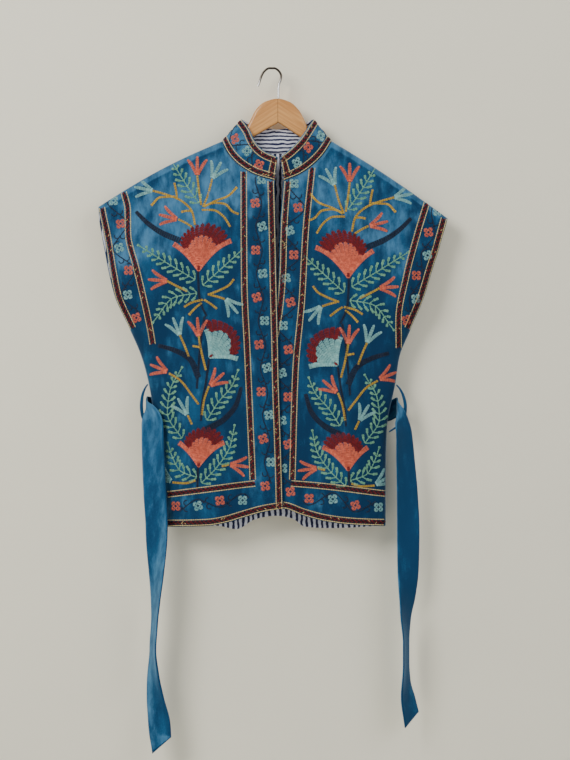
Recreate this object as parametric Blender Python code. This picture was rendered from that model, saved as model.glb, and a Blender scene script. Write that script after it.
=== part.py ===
"""An embroidered velvet waistcoat with cap sleeves and a stand collar, hanging from a wooden hanger.

Metres, +Z up. The origin is the inside of the hook's crown, where the hanger hangs. The wearer's left is
at +X and the front of the garment faces -Y. Lengths in the tables are millimetres.
"""
import bmesh
import bpy
import numpy as np
from math import cos, pi, radians, sin
from mathutils import Vector

MM = 0.001

# Walls and gaps, in millimetres.
VELVET = 2.0
COTTON = 1.0
SEAM_GAP = 0.3
COLLAR_SEAM_GAP = 0.345  # gap along the sloping collar, which leaves the same gap square to the seam
HALF_SEAM = SEAM_GAP / 2
LINING_GAP = 0.6

# The hollow of the garment, in millimetres.
RIDGE_RADIUS = 11.0      # roundness of the shoulder over the hanger's arm
EASE_LENGTH = 150.0      # distance below the shoulder over which the body fills out
# How far a side stands out from the hanger's plane, how far it curves back towards the sides, and how far
# it swells below the shoulders and falls in at the waist.
FRONT_SHAPE = (31.0, 0.0, 0.0)
BACK_SHAPE = (19.5, 5.5, 2.5)
ARCH_WIDTH = 210.0       # distance from the middle at which the curve is that deep
SWAY_TOP = -300.0        # height at which the swell is fullest
SWAY_LENGTH = 620.0      # height of one swell and one hollow
SIDE_ROUND = 80.0        # width of the rounded strip beside a side seam
ARMHOLE_SHARE = 0.42     # how far the armhole edges stand apart low down, as a share of the depth
CAP_TIP_SHARE = 0.80     # the same at the tip of the cap
LAP_LIFT = 2.4           # how far the right front stands forward, and the left front back, where they lap
LAP_FROM = 0.55          # share of a front's width, from its side, at which the lap starts to lift
LAP_SHARE = 0.35         # share of the width over which it lifts
LAP_TOP = -240.0         # height at which the lap starts
LAP_LENGTH = 120.0       # height over which it grows
CROWDING = 0.55          # how far the columns crowd towards the open side, from even to fully
HEM_SECTIONS = 3.0       # sections over which the hem's shape fades out
FOLD_ENDS = 0.7          # how abruptly a fold starts and ends; less is more abrupt

# Grid of a half panel: columns across it, and the sections and parts of sections that its rows lie on.
COLUMNS = 11
ROWS_BELOW_NECK = 16
NECK_STATIONS = (9.0, 10.0, 11.0, 11.5, 11.8, 12.0)

# Sections of the right front, from hem to shoulder: where each starts on the outer edge and ends on the
# centre or neck edge, and how far its middle rises.
RIGHT_FRONT = [
    # section       outer_x outer_z inner_x inner_z  rise
    ("hem",         -175.0, -759.0,   19.0, -728.0,   0.0),
    ("low hip",     -182.0, -690.0,   17.5, -668.0,   0.0),
    ("hip",         -192.0, -600.0,   15.0, -590.0,   0.0),
    ("waist",       -204.0, -523.0,   12.5, -515.0,   0.0),
    ("rib",         -216.0, -478.0,   11.5, -460.0,   0.0),
    ("underarm",    -235.0, -433.0,   10.0, -405.0,   0.0),
    ("low cap",     -259.0, -378.0,    8.5, -340.0,   0.0),
    ("cap",         -268.0, -335.0,    7.0, -265.0,   2.0),
    ("neck base",   -275.0, -293.0,    5.0, -188.0,   4.0),
    ("low neck",    -279.0, -272.0,  -27.0, -178.0,   5.0),
    ("neck",        -283.0, -254.0,  -58.0, -158.0,   6.0),
    ("high neck",   -286.0, -240.0,  -74.0, -139.0,   7.0),
    ("shoulder",    -288.0, -229.0,  -83.0, -120.0,   7.0),
]
LEFT_FRONT = [
    ("hem",          189.0, -758.0,  -16.0, -728.0,   0.0),
    ("low hip",      189.0, -684.0,  -14.0, -668.0,   0.0),
    ("hip",          191.0, -598.0,  -11.0, -590.0,   0.0),
    ("waist",        205.0, -523.0,   -8.0, -515.0,   0.0),
    ("rib",          212.0, -478.0,   -3.0, -460.0,   0.0),
    ("underarm",     230.0, -433.0,    6.0, -405.0,   0.0),
    ("low cap",      252.0, -380.0,   12.0, -340.0,   0.0),
    ("cap",          265.0, -338.0,   14.0, -265.0,   2.0),
    ("neck base",    278.0, -298.0,   20.0, -188.0,   3.0),
    ("low neck",     283.0, -280.0,   44.0, -178.0,   4.0),
    ("neck",         287.0, -266.0,   67.0, -162.0,   4.0),
    ("high neck",    290.0, -255.0,   87.0, -141.0,   4.0),
    ("shoulder",     292.0, -248.0,  100.0, -120.0,   4.0),
]
UNDERARM = 5             # the section where the side seam ends and the armhole starts
NECK_BASE = 8            # the section where the centre edge ends and the neckline starts
SHOULDER = 12            # the section along the shoulder seam

# The back has the fronts' outer edges, and its own centre line and neckline.
BACK_CENTRE = [
    # section     inner_x inner_z
    ("hem",           8.0, -742.0),
    ("low hip",       8.0, -674.0),
    ("hip",           8.0, -592.0),
    ("waist",         8.0, -515.0),
    ("rib",           8.0, -456.0),
    ("underarm",      8.0, -400.0),
    ("low cap",       8.0, -330.0),
    ("cap",           8.0, -245.0),
    ("neck base",     8.0, -139.0),
]
BACK_CAP_REACH = 5.0     # how far the back of the right cap shows past the front of it

# Height of the hems along X.
FRONT_HEM = [
    # x       z
    (-175.0, -759.0),
    (-105.0, -756.0),
    (-66.0, -749.0),
    (-27.0, -737.0),
    (19.0, -728.0),
    (32.0, -731.0),
    (53.0, -740.0),
    (90.0, -749.0),
    (129.0, -754.0),
    (189.0, -758.0),
]
BACK_HEM = [
    (-175.0, -759.0),
    (-93.0, -759.0),
    (-59.0, -765.0),
    (-27.0, -748.0),
    (8.0, -742.0),
    (34.0, -747.0),
    (55.0, -761.0),
    (90.0, -763.0),
    (189.0, -758.0),
]

# The largest folds: each runs from its top to its foot as a rounded ridge, or a trough where the height
# is negative, and dies away at both ends.
FRONT_FOLDS = [
    # top_x   top_z   foot_x  foot_z  width height
    (-112.0, -150.0, -122.0, -330.0, 13.0,  3.2),
    (-222.0, -215.0, -196.0, -470.0, 16.0,  3.0),
    (-150.0, -360.0, -190.0, -520.0, 16.0, -2.6),
    (-118.0, -470.0,  -90.0, -900.0, 22.0,  4.0),
    (-48.0, -560.0,  -38.0, -920.0, 20.0, -3.2),
    (122.0, -160.0,  128.0, -330.0, 13.0,  3.0),
    (228.0, -245.0,  200.0, -470.0, 16.0,  3.0),
    (152.0, -360.0,  192.0, -520.0, 16.0, -2.6),
    (120.0, -480.0,  110.0, -910.0, 22.0,  3.6),
    (66.0, -540.0,   52.0, -920.0, 18.0, -3.4),
]
BACK_FOLDS = [
    (-130.0, -200.0, -112.0, -520.0, 18.0,  2.4),
    (-140.0, -520.0, -104.0, -930.0, 20.0, -2.6),
    (-66.0, -470.0,  -56.0, -960.0, 24.0,  4.4),
    (4.0, -500.0,      4.0, -960.0, 26.0, -4.4),
    (66.0, -470.0,   56.0, -960.0, 24.0,  4.4),
    (146.0, -520.0,  124.0, -930.0, 20.0, -2.6),
    (140.0, -210.0,  120.0, -520.0, 18.0,  2.4),
]

# The collar's top edge, by the section of the neckline below it: 0 at the front end, 4 at the neck point,
# 8 at centre back.
COLLAR_RIGHT_TOP = [
    # along  x      y      z
    (0.0,   10.0, -28.0, -149.0),
    (1.0,  -12.0, -26.0, -139.0),
    (2.0,  -27.0, -21.5, -124.0),
    (3.0,  -37.0, -14.5, -102.0),
    (4.0,  -50.0,   0.0,  -83.0),
    (5.0,  -40.0,   9.5,  -87.0),
    (6.0,  -24.0,  12.5,  -93.0),
    (7.0,   -8.0,  15.0,  -97.0),
    (8.0,    8.0,  16.0,  -99.0),
]
COLLAR_LEFT_TOP = [
    (0.0,   14.5, -28.0, -149.0),
    (1.0,   27.0, -26.0, -138.5),
    (2.0,   42.0, -21.5, -124.0),
    (3.0,   55.0, -14.5, -106.0),
    (4.0,   69.0,   0.0,  -83.0),
    (5.0,   58.0,   9.5,  -87.0),
    (6.0,   41.0,  12.5,  -93.0),
    (7.0,   25.0,  15.0,  -97.0),
    (8.0,    8.0,  16.0,  -99.0),
]
COLLAR_ROWS = 3


# The belt, as sections down each hanging end: the middle of the section, its width, the turn of its face
# about the vertical (0 faces the front), and its tilt from level (90 stands the width upright).
BELT_THICK = 2.6
BELT_RIGHT_END = [
    #   x       y        z     width  turn  tilt
    (-207.5,  14.0,  -560.0,  34.0, -22.0,  90.0),
    (-207.8,   6.0,  -560.0,  26.0, -22.0,  90.0),
    (-208.0,  -1.0,  -560.5,  20.0, -22.0,  88.0),
    (-207.0, -10.0,  -562.0,  20.0, -22.0,  70.0),
    (-203.0, -18.0,  -567.0,  26.0, -22.0,  42.0),
    (-198.5, -23.0,  -577.0,  35.0, -21.0,  16.0),
    (-196.5, -24.5,  -592.0,  39.5, -20.0,   3.0),
    (-195.5, -26.0,  -632.0,  40.0, -19.0,   0.0),
    (-192.5, -27.0,  -700.0,  40.0, -17.0,   0.0),
    (-189.5, -27.0,  -765.0,  40.0, -22.0,   0.0),
    (-190.0, -26.0,  -830.0,  40.0, -48.0,   0.0),
    (-191.5, -25.0,  -880.0,  40.0, -66.0,   0.0),
    (-193.5, -24.0,  -920.0,  40.0, -73.0,   1.0),
    (-196.0, -23.0,  -960.0,  40.0, -73.0,   2.0),
    (-195.5, -22.0, -1000.0,  40.0, -60.0,   3.0),
    (-192.0, -21.0, -1040.0,  40.0, -42.0,   2.0),
    (-186.0, -20.0, -1078.0,  40.0, -20.0,   0.0),
    (-184.0, -20.0, -1102.0,  38.0, -12.0,  -2.0),
]
BELT_RIGHT_TIP = (-197.0, -18.0, -1133.0)
BELT_LEFT_END = [
    (208.5,   14.0,  -562.0,  34.0,  40.0,  90.0),
    (209.0,    6.0,  -562.0,  26.0,  42.0,  90.0),
    (209.5,   -1.0,  -562.5,  20.0,  44.0,  88.0),
    (210.0,   -9.0,  -565.0,  20.0,  46.0,  72.0),
    (211.5,  -15.0,  -571.0,  24.0,  44.0,  44.0),
    (214.5,  -18.0,  -583.0,  31.0,  44.0,  16.0),
    (218.5,  -17.5,  -602.0,  37.0,  44.0,   3.0),
    (221.5,  -14.0,  -650.0,  40.0,  38.0,   0.0),
    (224.5,  -13.0,  -705.0,  40.0,  27.0,   0.0),
    (226.0,  -12.0,  -765.0,  40.0,  18.0,   0.0),
    (225.8,  -12.0,  -830.0,  40.0,  26.0,   0.0),
    (224.5,  -12.0,  -875.0,  40.0,  46.0,   0.0),
    (222.0,  -12.0,  -912.0,  40.0,  64.0,   0.0),
    (222.5,  -12.0,  -950.0,  40.0,  74.0,   0.0),
    (222.5,  -12.0,  -985.0,  40.0,  74.0,   0.0),
    (222.5,  -12.0, -1015.0,  40.0,  68.0,   0.0),
    (226.0,  -12.0, -1045.0,  40.0,  52.0,   1.0),
    (230.0,  -12.0, -1066.0,  39.0,  46.0,   2.0),
]
BELT_LEFT_TIP = (220.0, -22.0, -1090.0)
BELT_BACK = [
    #   x       y        z
    (-207.4,  15.6,  -560.0),
    (-205.0,  21.0,  -560.5),
    (-195.0,  25.5,  -562.0),
    (-120.0,  27.5,  -566.0),
    (0.0,     28.0,  -570.0),
    (120.0,   27.5,  -570.0),
    (195.0,   25.5,  -568.0),
    (206.0,   21.0,  -563.0),
    (208.4,   15.6,  -562.0),
]
BELT_BACK_WIDTH = 34.0

# Belt loops: narrow strips that stand out from the side seams.
LOOP_WIDE = 7.0
LOOP_THICK = 2.0         # thickness where a loop is sewn in
LOOP_SWELL = 3.4         # how much thicker it is at its middle, all on its outer side
LOOP_RIGHT = [(-205.8, -523.0), (-209.8, -530.0), (-213.4, -542.0), (-214.6, -558.0), (-213.2, -574.0),
              (-208.0, -587.0), (-196.6, -598.0)]
LOOP_LEFT = [(206.8, -524.0), (211.6, -530.0), (217.0, -542.0), (220.0, -558.0), (218.8, -575.0),
             (210.0, -590.0), (194.8, -602.0)]

# The hanger, in millimetres.
HANGER_THICK = 12.0
HANGER_EDGE_ROUND = 4.5
HANGER_TOP = [(-203.0, -193.0), (-171.0, -176.5), (-125.0, -152.5), (-83.0, -133.0), (-58.0, -117.0),
              (-44.0, -101.0), (-36.0, -86.0), (-26.0, -67.0), (-11.0, -54.0), (10.0, -49.0), (30.0, -54.5),
              (45.0, -68.0), (55.0, -86.0), (62.0, -103.0), (76.0, -119.0), (100.0, -135.0), (140.0, -157.0),
              (181.0, -182.0), (215.0, -206.0)]
HANGER_UNDER = [(217.0, -222.0), (205.0, -222.0), (170.0, -199.0), (120.0, -166.0), (70.0, -128.0),
                (11.0, -89.0), (-50.0, -124.0), (-110.0, -163.0), (-160.0, -189.0), (-193.0, -206.0),
                (-205.0, -206.0)]
HOOK_WIRE = 3.8
HOOK_POINTS = 34
HOOK_ROUTE = [(-23.0, -28.5), (-20.5, -22.0), (-17.6, -13.0), (-12.5, -4.0), (-4.0, 1.4), (4.0, 1.4),
              (12.0, -3.5), (15.6, -11.5), (14.6, -18.5), (11.8, -26.0), (11.0, -36.0), (11.0, -48.6)]


def smooth_through(knots, values, at):
    """Values at any place between knots, on a smooth curve that never overshoots a knot."""
    knots, values, at = (np.asarray(each, float) for each in (knots, values, at))
    steps = np.diff(knots)
    slopes = np.diff(values) / steps
    tangents = np.zeros_like(values)
    same_way = slopes[:-1] * slopes[1:] > 0
    before = np.where(same_way, slopes[:-1], 1.0)
    after = np.where(same_way, slopes[1:], 1.0)
    tangents[1:-1] = np.where(same_way, 2 * before * after / (before + after), 0.0)
    tangents[0] = slopes[0]
    tangents[-1] = slopes[-1]
    span = np.clip(np.searchsorted(knots, at, side="right") - 1, 0, len(steps) - 1)
    step = steps[span]
    t = (at - knots[span]) / step
    rise = values[span + 1] - values[span]
    bend_in = tangents[span] * step - rise
    bend_out = rise - tangents[span + 1] * step
    return values[span] + t * rise + t * (1 - t) * ((1 - t) * bend_in + t * bend_out)


def ease(t):
    """From 0 to 1 with a level start and end."""
    t = np.clip(t, 0.0, 1.0)
    return t * t * (3 - 2 * t)


def stations():
    """The rows of a half panel, counted in sections."""
    below = np.linspace(0.0, NECK_BASE, ROWS_BELOW_NECK + 1)
    return np.concatenate([below, NECK_STATIONS])


def edges_of(sections):
    """Points along a front's outer edge and along its centre edge and neckline, as (x, z) by row."""
    at = stations()
    table = np.array([section[1:] for section in sections])
    knots = np.arange(len(table))
    outer = np.stack([smooth_through(knots, table[:, k], at) for k in (0, 1)], axis=1)
    below = at <= NECK_BASE
    centre, neck = slice(0, NECK_BASE + 1), slice(NECK_BASE, None)
    inner = np.empty_like(outer)
    for axis, column in ((0, 2), (1, 3)):
        values = table[:, column]
        inner[below, axis] = smooth_through(knots[centre], values[centre], at[below])
        inner[~below, axis] = smooth_through(knots[neck], values[neck], at[~below])
    rise = np.interp(at, knots, table[:, 4])
    return outer, inner, rise


def back_edges_of(front_sections, cap_reach):
    """The same for one half of the back: the front's outer edge, the back's centre line and neckline."""
    at = stations()
    outer, front_inner, rise = edges_of(front_sections)
    on_cap = np.clip((at - UNDERARM) / (SHOULDER - UNDERARM), 0.0, 1.0)
    outer[:, 0] += cap_reach * np.sin(pi * on_cap)
    table = np.array([section[1:] for section in BACK_CENTRE])
    below = at <= NECK_BASE
    inner = np.empty_like(outer)
    for axis in (0, 1):
        inner[below, axis] = smooth_through(np.arange(len(table)), table[:, axis], at[below])
    turn = (at[~below] - NECK_BASE) / (SHOULDER - NECK_BASE) * pi / 2
    neck_point = front_inner[-1]
    base = table[-1]
    inner[~below, 0] = base[0] + (neck_point[0] - base[0]) * np.sin(turn)
    inner[~below, 1] = base[1] + (neck_point[1] - base[1]) * (1 - np.cos(turn))
    return outer, inner, rise


def fold_height(folds, x, z):
    """How far the folds lift the cloth at each place."""
    lift = np.zeros_like(x)
    for top_x, top_z, foot_x, foot_z, width, height in folds:
        t = np.clip((top_z - z) / (top_z - foot_z), 0.0, 1.0)
        middle = top_x + (foot_x - top_x) * t
        lift += height * np.sin(pi * t) ** FOLD_ENDS * np.exp(-(((x - middle) / width) ** 2))
    return lift


def half_panel(edges, hem, folds, shape, outward, lap=0.0):
    """A half panel's outer face and the directions out of it, as rows of points in millimetres."""
    outer, inner, rise = edges
    depth, arch, sway = shape
    at = stations()
    even = np.linspace(0.0, 1.0, COLUMNS + 1)
    across = CROWDING * (1 - np.cos(even * pi / 2)) + (1 - CROWDING) * even
    span = inner - outer
    x = outer[:, :1] + span[:, :1] * across
    z = outer[:, 1:] + span[:, 1:] * across + rise[:, None] * np.sin(pi * across)
    hem_x, hem_z = np.array(hem).T
    drop = smooth_through(hem_x, hem_z, x[0]) - z[0]
    z += drop * (1 - ease(at / HEM_SECTIONS))[:, None]
    from_side = np.hypot(x - x[:, :1], z - z[:, :1])
    below_ridge = np.hypot(x - x[-1], z - z[-1])
    hanging = ease(below_ridge / EASE_LENGTH)
    rounding = np.minimum(below_ridge / RIDGE_RADIUS, 1.0)
    fullness = RIDGE_RADIUS * np.sqrt(1 - (1 - rounding) ** 2)
    hollow = arch * (x / ARCH_WIDTH) ** 2 - sway * np.cos(2 * pi * (z - SWAY_TOP) / SWAY_LENGTH)
    fullness += (depth - RIDGE_RADIUS - hollow) * hanging
    side = np.sqrt(1 - (1 - np.minimum(from_side / SIDE_ROUND, 1.0)) ** 2)
    widening = (CAP_TIP_SHARE - ARMHOLE_SHARE) * ease((at - NECK_BASE) / 2.0)
    open_edge = (ARMHOLE_SHARE * ease(at - UNDERARM) + widening)[:, None]
    side = open_edge + (1 - open_edge) * side
    fullness *= side
    fullness += fold_height(folds, x, z) * side * hanging
    lapping = ease((across - LAP_FROM) / LAP_SHARE) * ease((LAP_TOP - z) / LAP_LENGTH)
    fullness += lap * lapping
    points = np.stack([x, outward * (HALF_SEAM + fullness), z], axis=2)
    return points, directions_out(points, outward)


def directions_out(points, outward):
    """Unit directions square to the cloth; along the seams they stay in the seam's plane."""
    along_rows = np.gradient(points, axis=1)
    along_columns = np.gradient(points, axis=0)
    normals = np.cross(along_columns, along_rows)
    middle = normals[len(normals) // 2, normals.shape[1] // 2, 1]
    normals *= 1.0 if middle * outward > 0 else -1.0
    under = stations() <= UNDERARM
    normals[under, 0, 1] = 0.0
    normals[-1, :, 1] = 0.0
    return normals / np.linalg.norm(normals, axis=2, keepdims=True)


def wall(name, grids, start, end, collection, material):
    """A closed cloth wall between two depths below a face made of one or more grids, in millimetres."""
    places, outs, index_of, faces = [], [], {}, []
    for points, normals in grids:
        rows, columns = points.shape[:2]
        index = np.empty((rows, columns), int)
        for row in range(rows):
            for column in range(columns):
                key = tuple(np.round(points[row, column], 4))
                if key not in index_of:
                    index_of[key] = len(places)
                    places.append(points[row, column])
                    outs.append(np.zeros(3))
                index[row, column] = index_of[key]
                outs[index_of[key]] = outs[index_of[key]] + normals[row, column]
        for row in range(rows - 1):
            for column in range(columns - 1):
                a, b = index[row, column], index[row, column + 1]
                c, d = index[row + 1, column + 1], index[row + 1, column]
                faces += [(a, b, c), (a, c, d)]
    places = np.array(places)
    outs = np.array(outs)
    outs /= np.linalg.norm(outs, axis=1, keepdims=True)
    half = len(places)
    walls = list(faces)
    walls += [(half + c, half + b, half + a) for a, b, c in faces]
    used = {(a, b) for face in faces for a, b in zip(face, face[1:] + face[:1])}
    walls += [(b, a, half + a, half + b) for a, b in sorted(used) if (b, a) not in used]
    vertices = np.concatenate([places - outs * start, places - outs * end]) * MM
    mesh = bpy.data.meshes.new(name)
    mesh.from_pydata([tuple(point) for point in vertices], [], walls)
    return finish_mesh(name, mesh, collection, material)


def finish_mesh(name, mesh, collection, material):
    """Turns the faces outwards and puts the piece in the scene."""
    work = bmesh.new()
    work.from_mesh(mesh)
    bmesh.ops.recalc_face_normals(work, faces=work.faces)
    work.to_mesh(mesh)
    work.free()
    mesh.materials.append(material)
    piece = bpy.data.objects.new(name, mesh)
    collection.objects.link(piece)
    return piece


def make_material(name, colour, roughness, metallic=0.0):
    material = bpy.data.materials.new(name)
    material.use_nodes = True
    shader = material.node_tree.nodes["Principled BSDF"]
    shader.inputs["Base Color"].default_value = (*colour, 1.0)
    shader.inputs["Roughness"].default_value = roughness
    shader.inputs["Metallic"].default_value = metallic
    material.diffuse_color = (*colour, 1.0)
    return material


def mirrored_order(half):
    """A half panel with its columns from the centre outwards, so that its faces turn the same way."""
    return half[0][:, ::-1], half[1][:, ::-1]


def collar_half(front, back_half, top_rows, centre_shift):
    """A collar half's outer face: it stands on the neckline of a front and of the back."""
    at = stations()
    on_neck = np.flatnonzero(at >= NECK_BASE)
    along_front = at[on_neck] - NECK_BASE
    bottom = front[0][on_neck, -1]
    bottom_out = front[1][on_neck, -1]
    back_bottom = back_half[0][on_neck[::-1], -1]
    back_out = back_half[1][on_neck[::-1], -1]
    neck_point = (bottom[-1] + back_bottom[0]) / 2
    neck_out = bottom_out[-1] + back_out[0]
    foot = np.concatenate([bottom[:-1], [neck_point], back_bottom[1:]])
    foot_out = np.concatenate([bottom_out[:-1], [neck_out], back_out[1:]])
    foot_out /= np.linalg.norm(foot_out, axis=1, keepdims=True)
    along_back = 2 * (SHOULDER - NECK_BASE) - along_front[::-1]
    along = np.concatenate([along_front, along_back[1:]])
    table = np.array(top_rows)
    top = np.stack([smooth_through(table[:, 0], table[:, k], along) for k in (1, 2, 3)], axis=1)
    rise = top - foot
    rise /= np.linalg.norm(rise, axis=1, keepdims=True)
    foot = foot + rise * COLLAR_SEAM_GAP
    up = np.linspace(0.0, 1.0, COLLAR_ROWS + 1)[:, None, None]
    points = foot + (top - foot) * up
    points[:, -1, 0] += centre_shift
    along_rows = np.gradient(points, axis=1)
    along_columns = np.gradient(points, axis=0)
    normals = np.cross(along_columns, along_rows)
    if normals[0, 1, 1] > 0:
        normals = -normals
    normals /= np.linalg.norm(normals, axis=2, keepdims=True)
    normals[0] = foot_out
    return points, normals


def ribbon(name, middles, across, face_out, widths, tip, collection, material):
    """A flat strip of cloth with a square section, from its middle line and the way its width runs."""
    half_thick = BELT_THICK / 2
    work = bmesh.new()
    rings = []
    for middle, side, out, width in zip(middles, across, face_out, widths):
        corners = [(-1, -1), (1, -1), (1, 1), (-1, 1)]
        ring = [work.verts.new((middle + side * (width / 2) * a + out * half_thick * b) * MM)
                for a, b in corners]
        rings.append(ring)
    if tip is not None:
        out = face_out[-1]
        ends = [work.verts.new((tip + out * half_thick * b) * MM) for b in (-1, 1)]
    for ring, following in zip(rings, rings[1:]):
        for k in range(4):
            work.faces.new((ring[k], ring[(k + 1) % 4], following[(k + 1) % 4], following[k]))
    work.faces.new(tuple(reversed(rings[0])))
    last = rings[-1]
    if tip is None:
        work.faces.new(tuple(last))
    else:
        work.faces.new((last[0], last[1], ends[0]))
        work.faces.new((last[3], ends[1], last[2]))
        work.faces.new((last[1], last[2], ends[1], ends[0]))
        work.faces.new((last[3], last[0], ends[0], ends[1]))
    mesh = bpy.data.meshes.new(name)
    bmesh.ops.triangulate(work, faces=work.faces)
    work.to_mesh(mesh)
    work.free()
    return finish_mesh(name, mesh, collection, material)


def hanging_end(name, rows, tip, collection, material):
    """A free end of the belt."""
    middles = [Vector(row[:3]) for row in rows]
    across = []
    out = []
    befores, afters = [middles[0]] + middles, middles[1:] + [middles[-1]]
    for (_, _, _, _, turn, tilt), before, after in zip(rows, befores, afters):
        level = Vector((cos(radians(turn)), sin(radians(turn)), 0.0))
        side = level * cos(radians(tilt)) + Vector((0.0, 0.0, 1.0)) * sin(radians(tilt))
        run = (after - before).normalized()
        face = side.cross(run).normalized()
        across.append(side)
        out.append(face)
    widths = [row[3] for row in rows]
    return ribbon(name, middles, across, out, widths, Vector(tip), collection, material)


def belt_back(collection, material):
    middles = [Vector(row) for row in BELT_BACK]
    across = [Vector((0.0, 0.0, 1.0))] * len(middles)
    out = []
    for before, after in zip([middles[0]] + middles, middles[1:] + [middles[-1]]):
        run = (after - before).normalized()
        out.append(Vector((0.0, 0.0, 1.0)).cross(run).normalized())
    widths = [BELT_BACK_WIDTH] * len(middles)
    return ribbon("belt_back", middles, across, out, widths, None, collection, material)


def strip(name, route, collection, material):
    """A belt loop: a narrow strip bent along a route in the X-Z plane."""
    curve = bpy.data.curves.new(name, "CURVE")
    curve.dimensions = "2D"
    curve.fill_mode = "BOTH"
    curve.extrude = LOOP_WIDE / 2 * MM
    points = [Vector((x, z)) for x, z in route]
    outward = 1.0 if points[0].x > 0 else -1.0
    edges = {1.0: [], -1.0: []}
    befores, afters = [points[0]] + points, points[1:] + [points[-1]]
    for number, (point, before, after) in enumerate(zip(points, befores, afters)):
        run = (after - before).normalized()
        side = Vector((-run.y, run.x))
        swell = LOOP_SWELL * sin(pi * number / (len(points) - 1))
        for hand, edge in edges.items():
            thick = LOOP_THICK / 2 + (swell if hand == outward else 0.0)
            edge.append(point + side * hand * thick)
    outline = edges[1.0] + edges[-1.0][::-1]
    spline = curve.splines.new("POLY")
    spline.points.add(len(outline) - 1)
    for point, place in zip(spline.points, outline):
        point.co = (place.x * MM, place.y * MM, 0.0, 1.0)
    spline.use_cyclic_u = True
    piece = bpy.data.objects.new(name, curve)
    piece.rotation_euler = (pi / 2, 0.0, 0.0)
    curve.materials.append(material)
    collection.objects.link(piece)
    return piece


def hanger_wood(collection, material):
    curve = bpy.data.curves.new("hanger_wood", "CURVE")
    curve.dimensions = "2D"
    curve.fill_mode = "BOTH"
    curve.extrude = (HANGER_THICK / 2 - HANGER_EDGE_ROUND) * MM
    curve.bevel_depth = HANGER_EDGE_ROUND * MM
    curve.bevel_resolution = 1
    curve.offset = -HANGER_EDGE_ROUND * MM
    outline = HANGER_TOP + HANGER_UNDER
    spline = curve.splines.new("POLY")
    spline.points.add(len(outline) - 1)
    for point, (x, z) in zip(spline.points, outline):
        point.co = (x * MM, z * MM, 0.0, 1.0)
    spline.use_cyclic_u = True
    piece = bpy.data.objects.new("hanger_wood", curve)
    piece.rotation_euler = (pi / 2, 0.0, 0.0)
    curve.materials.append(material)
    collection.objects.link(piece)
    return piece


def hanger_hook(collection, material):
    """The steel wire of the hook, on a smooth line through its route."""
    curve = bpy.data.curves.new("hanger_hook", "CURVE")
    curve.dimensions = "3D"
    curve.bevel_depth = HOOK_WIRE / 2 * MM
    curve.bevel_resolution = 3
    curve.use_fill_caps = True
    route = np.array(HOOK_ROUTE)
    knots = np.concatenate([[0.0], np.cumsum(np.hypot(*np.diff(route, axis=0).T))])
    at = np.linspace(0.0, knots[-1], HOOK_POINTS)
    x = smooth_through(knots, route[:, 0], at)
    z = smooth_through(knots, route[:, 1], at)
    spline = curve.splines.new("POLY")
    spline.points.add(len(at) - 1)
    for point, px, pz in zip(spline.points, x, z):
        point.co = (px * MM, 0.0, pz * MM, 1.0)
    piece = bpy.data.objects.new("hanger_hook", curve)
    curve.materials.append(material)
    collection.objects.link(piece)
    return piece


def main():
    for thing in list(bpy.data.objects):
        bpy.data.objects.remove(thing, do_unlink=True)
    collection = bpy.data.collections.new("embroidered waistcoat")
    bpy.context.scene.collection.children.link(collection)
    velvet = make_material("blue velvet", (0.012, 0.085, 0.22), 0.85)
    belt_velvet = make_material("belt velvet", (0.015, 0.11, 0.28), 0.85)
    striped = make_material("striped cotton", (0.62, 0.64, 0.75), 0.9)
    wood = make_material("pale wood", (0.66, 0.38, 0.14), 0.5)
    steel = make_material("hook steel", (0.6, 0.6, 0.6), 0.3, 1.0)

    front_right = half_panel(edges_of(RIGHT_FRONT), FRONT_HEM, FRONT_FOLDS, FRONT_SHAPE, -1, LAP_LIFT)
    front_left = half_panel(edges_of(LEFT_FRONT), FRONT_HEM, FRONT_FOLDS, FRONT_SHAPE, -1, -LAP_LIFT)
    right_edges = back_edges_of(RIGHT_FRONT, -BACK_CAP_REACH)
    left_edges = back_edges_of(LEFT_FRONT, 0.0)
    back_right = half_panel(right_edges, BACK_HEM, BACK_FOLDS, BACK_SHAPE, 1)
    back_left = half_panel(left_edges, BACK_HEM, BACK_FOLDS, BACK_SHAPE, 1)
    whole_back = [back_right, mirrored_order(back_left)]
    wall("front_right", [front_right], 0.0, VELVET, collection, velvet)
    wall("front_left", [front_left], 0.0, VELVET, collection, velvet)
    wall("back", whole_back, 0.0, VELVET, collection, velvet)
    inside = VELVET + LINING_GAP
    wall("back_lining", whole_back, inside, inside + COTTON, collection, striped)

    right = collar_half(front_right, back_right, COLLAR_RIGHT_TOP, -HALF_SEAM)
    left = collar_half(front_left, back_left, COLLAR_LEFT_TOP, HALF_SEAM)
    wall("collar_right", [right], 0.0, VELVET, collection, velvet)
    wall("collar_left", [mirrored_order(left)], 0.0, VELVET, collection, velvet)
    ring = []
    for r, l in zip(right, left):
        ring.append(np.concatenate([r[:, :-1], (r[:, -1:] + l[:, -1:]) / 2, l[:, -2::-1]], axis=1))
    ring[1] /= np.linalg.norm(ring[1], axis=2, keepdims=True)
    wall("collar_lining", [ring], inside, inside + COTTON, collection, striped)

    hanging_end("belt_right_end", BELT_RIGHT_END, BELT_RIGHT_TIP, collection, belt_velvet)
    hanging_end("belt_left_end", BELT_LEFT_END, BELT_LEFT_TIP, collection, belt_velvet)
    belt_back(collection, belt_velvet)
    strip("belt_loop_right", LOOP_RIGHT, collection, belt_velvet)
    strip("belt_loop_left", LOOP_LEFT, collection, belt_velvet)
    hanger_wood(collection, wood)
    hanger_hook(collection, steel)


main()
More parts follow.
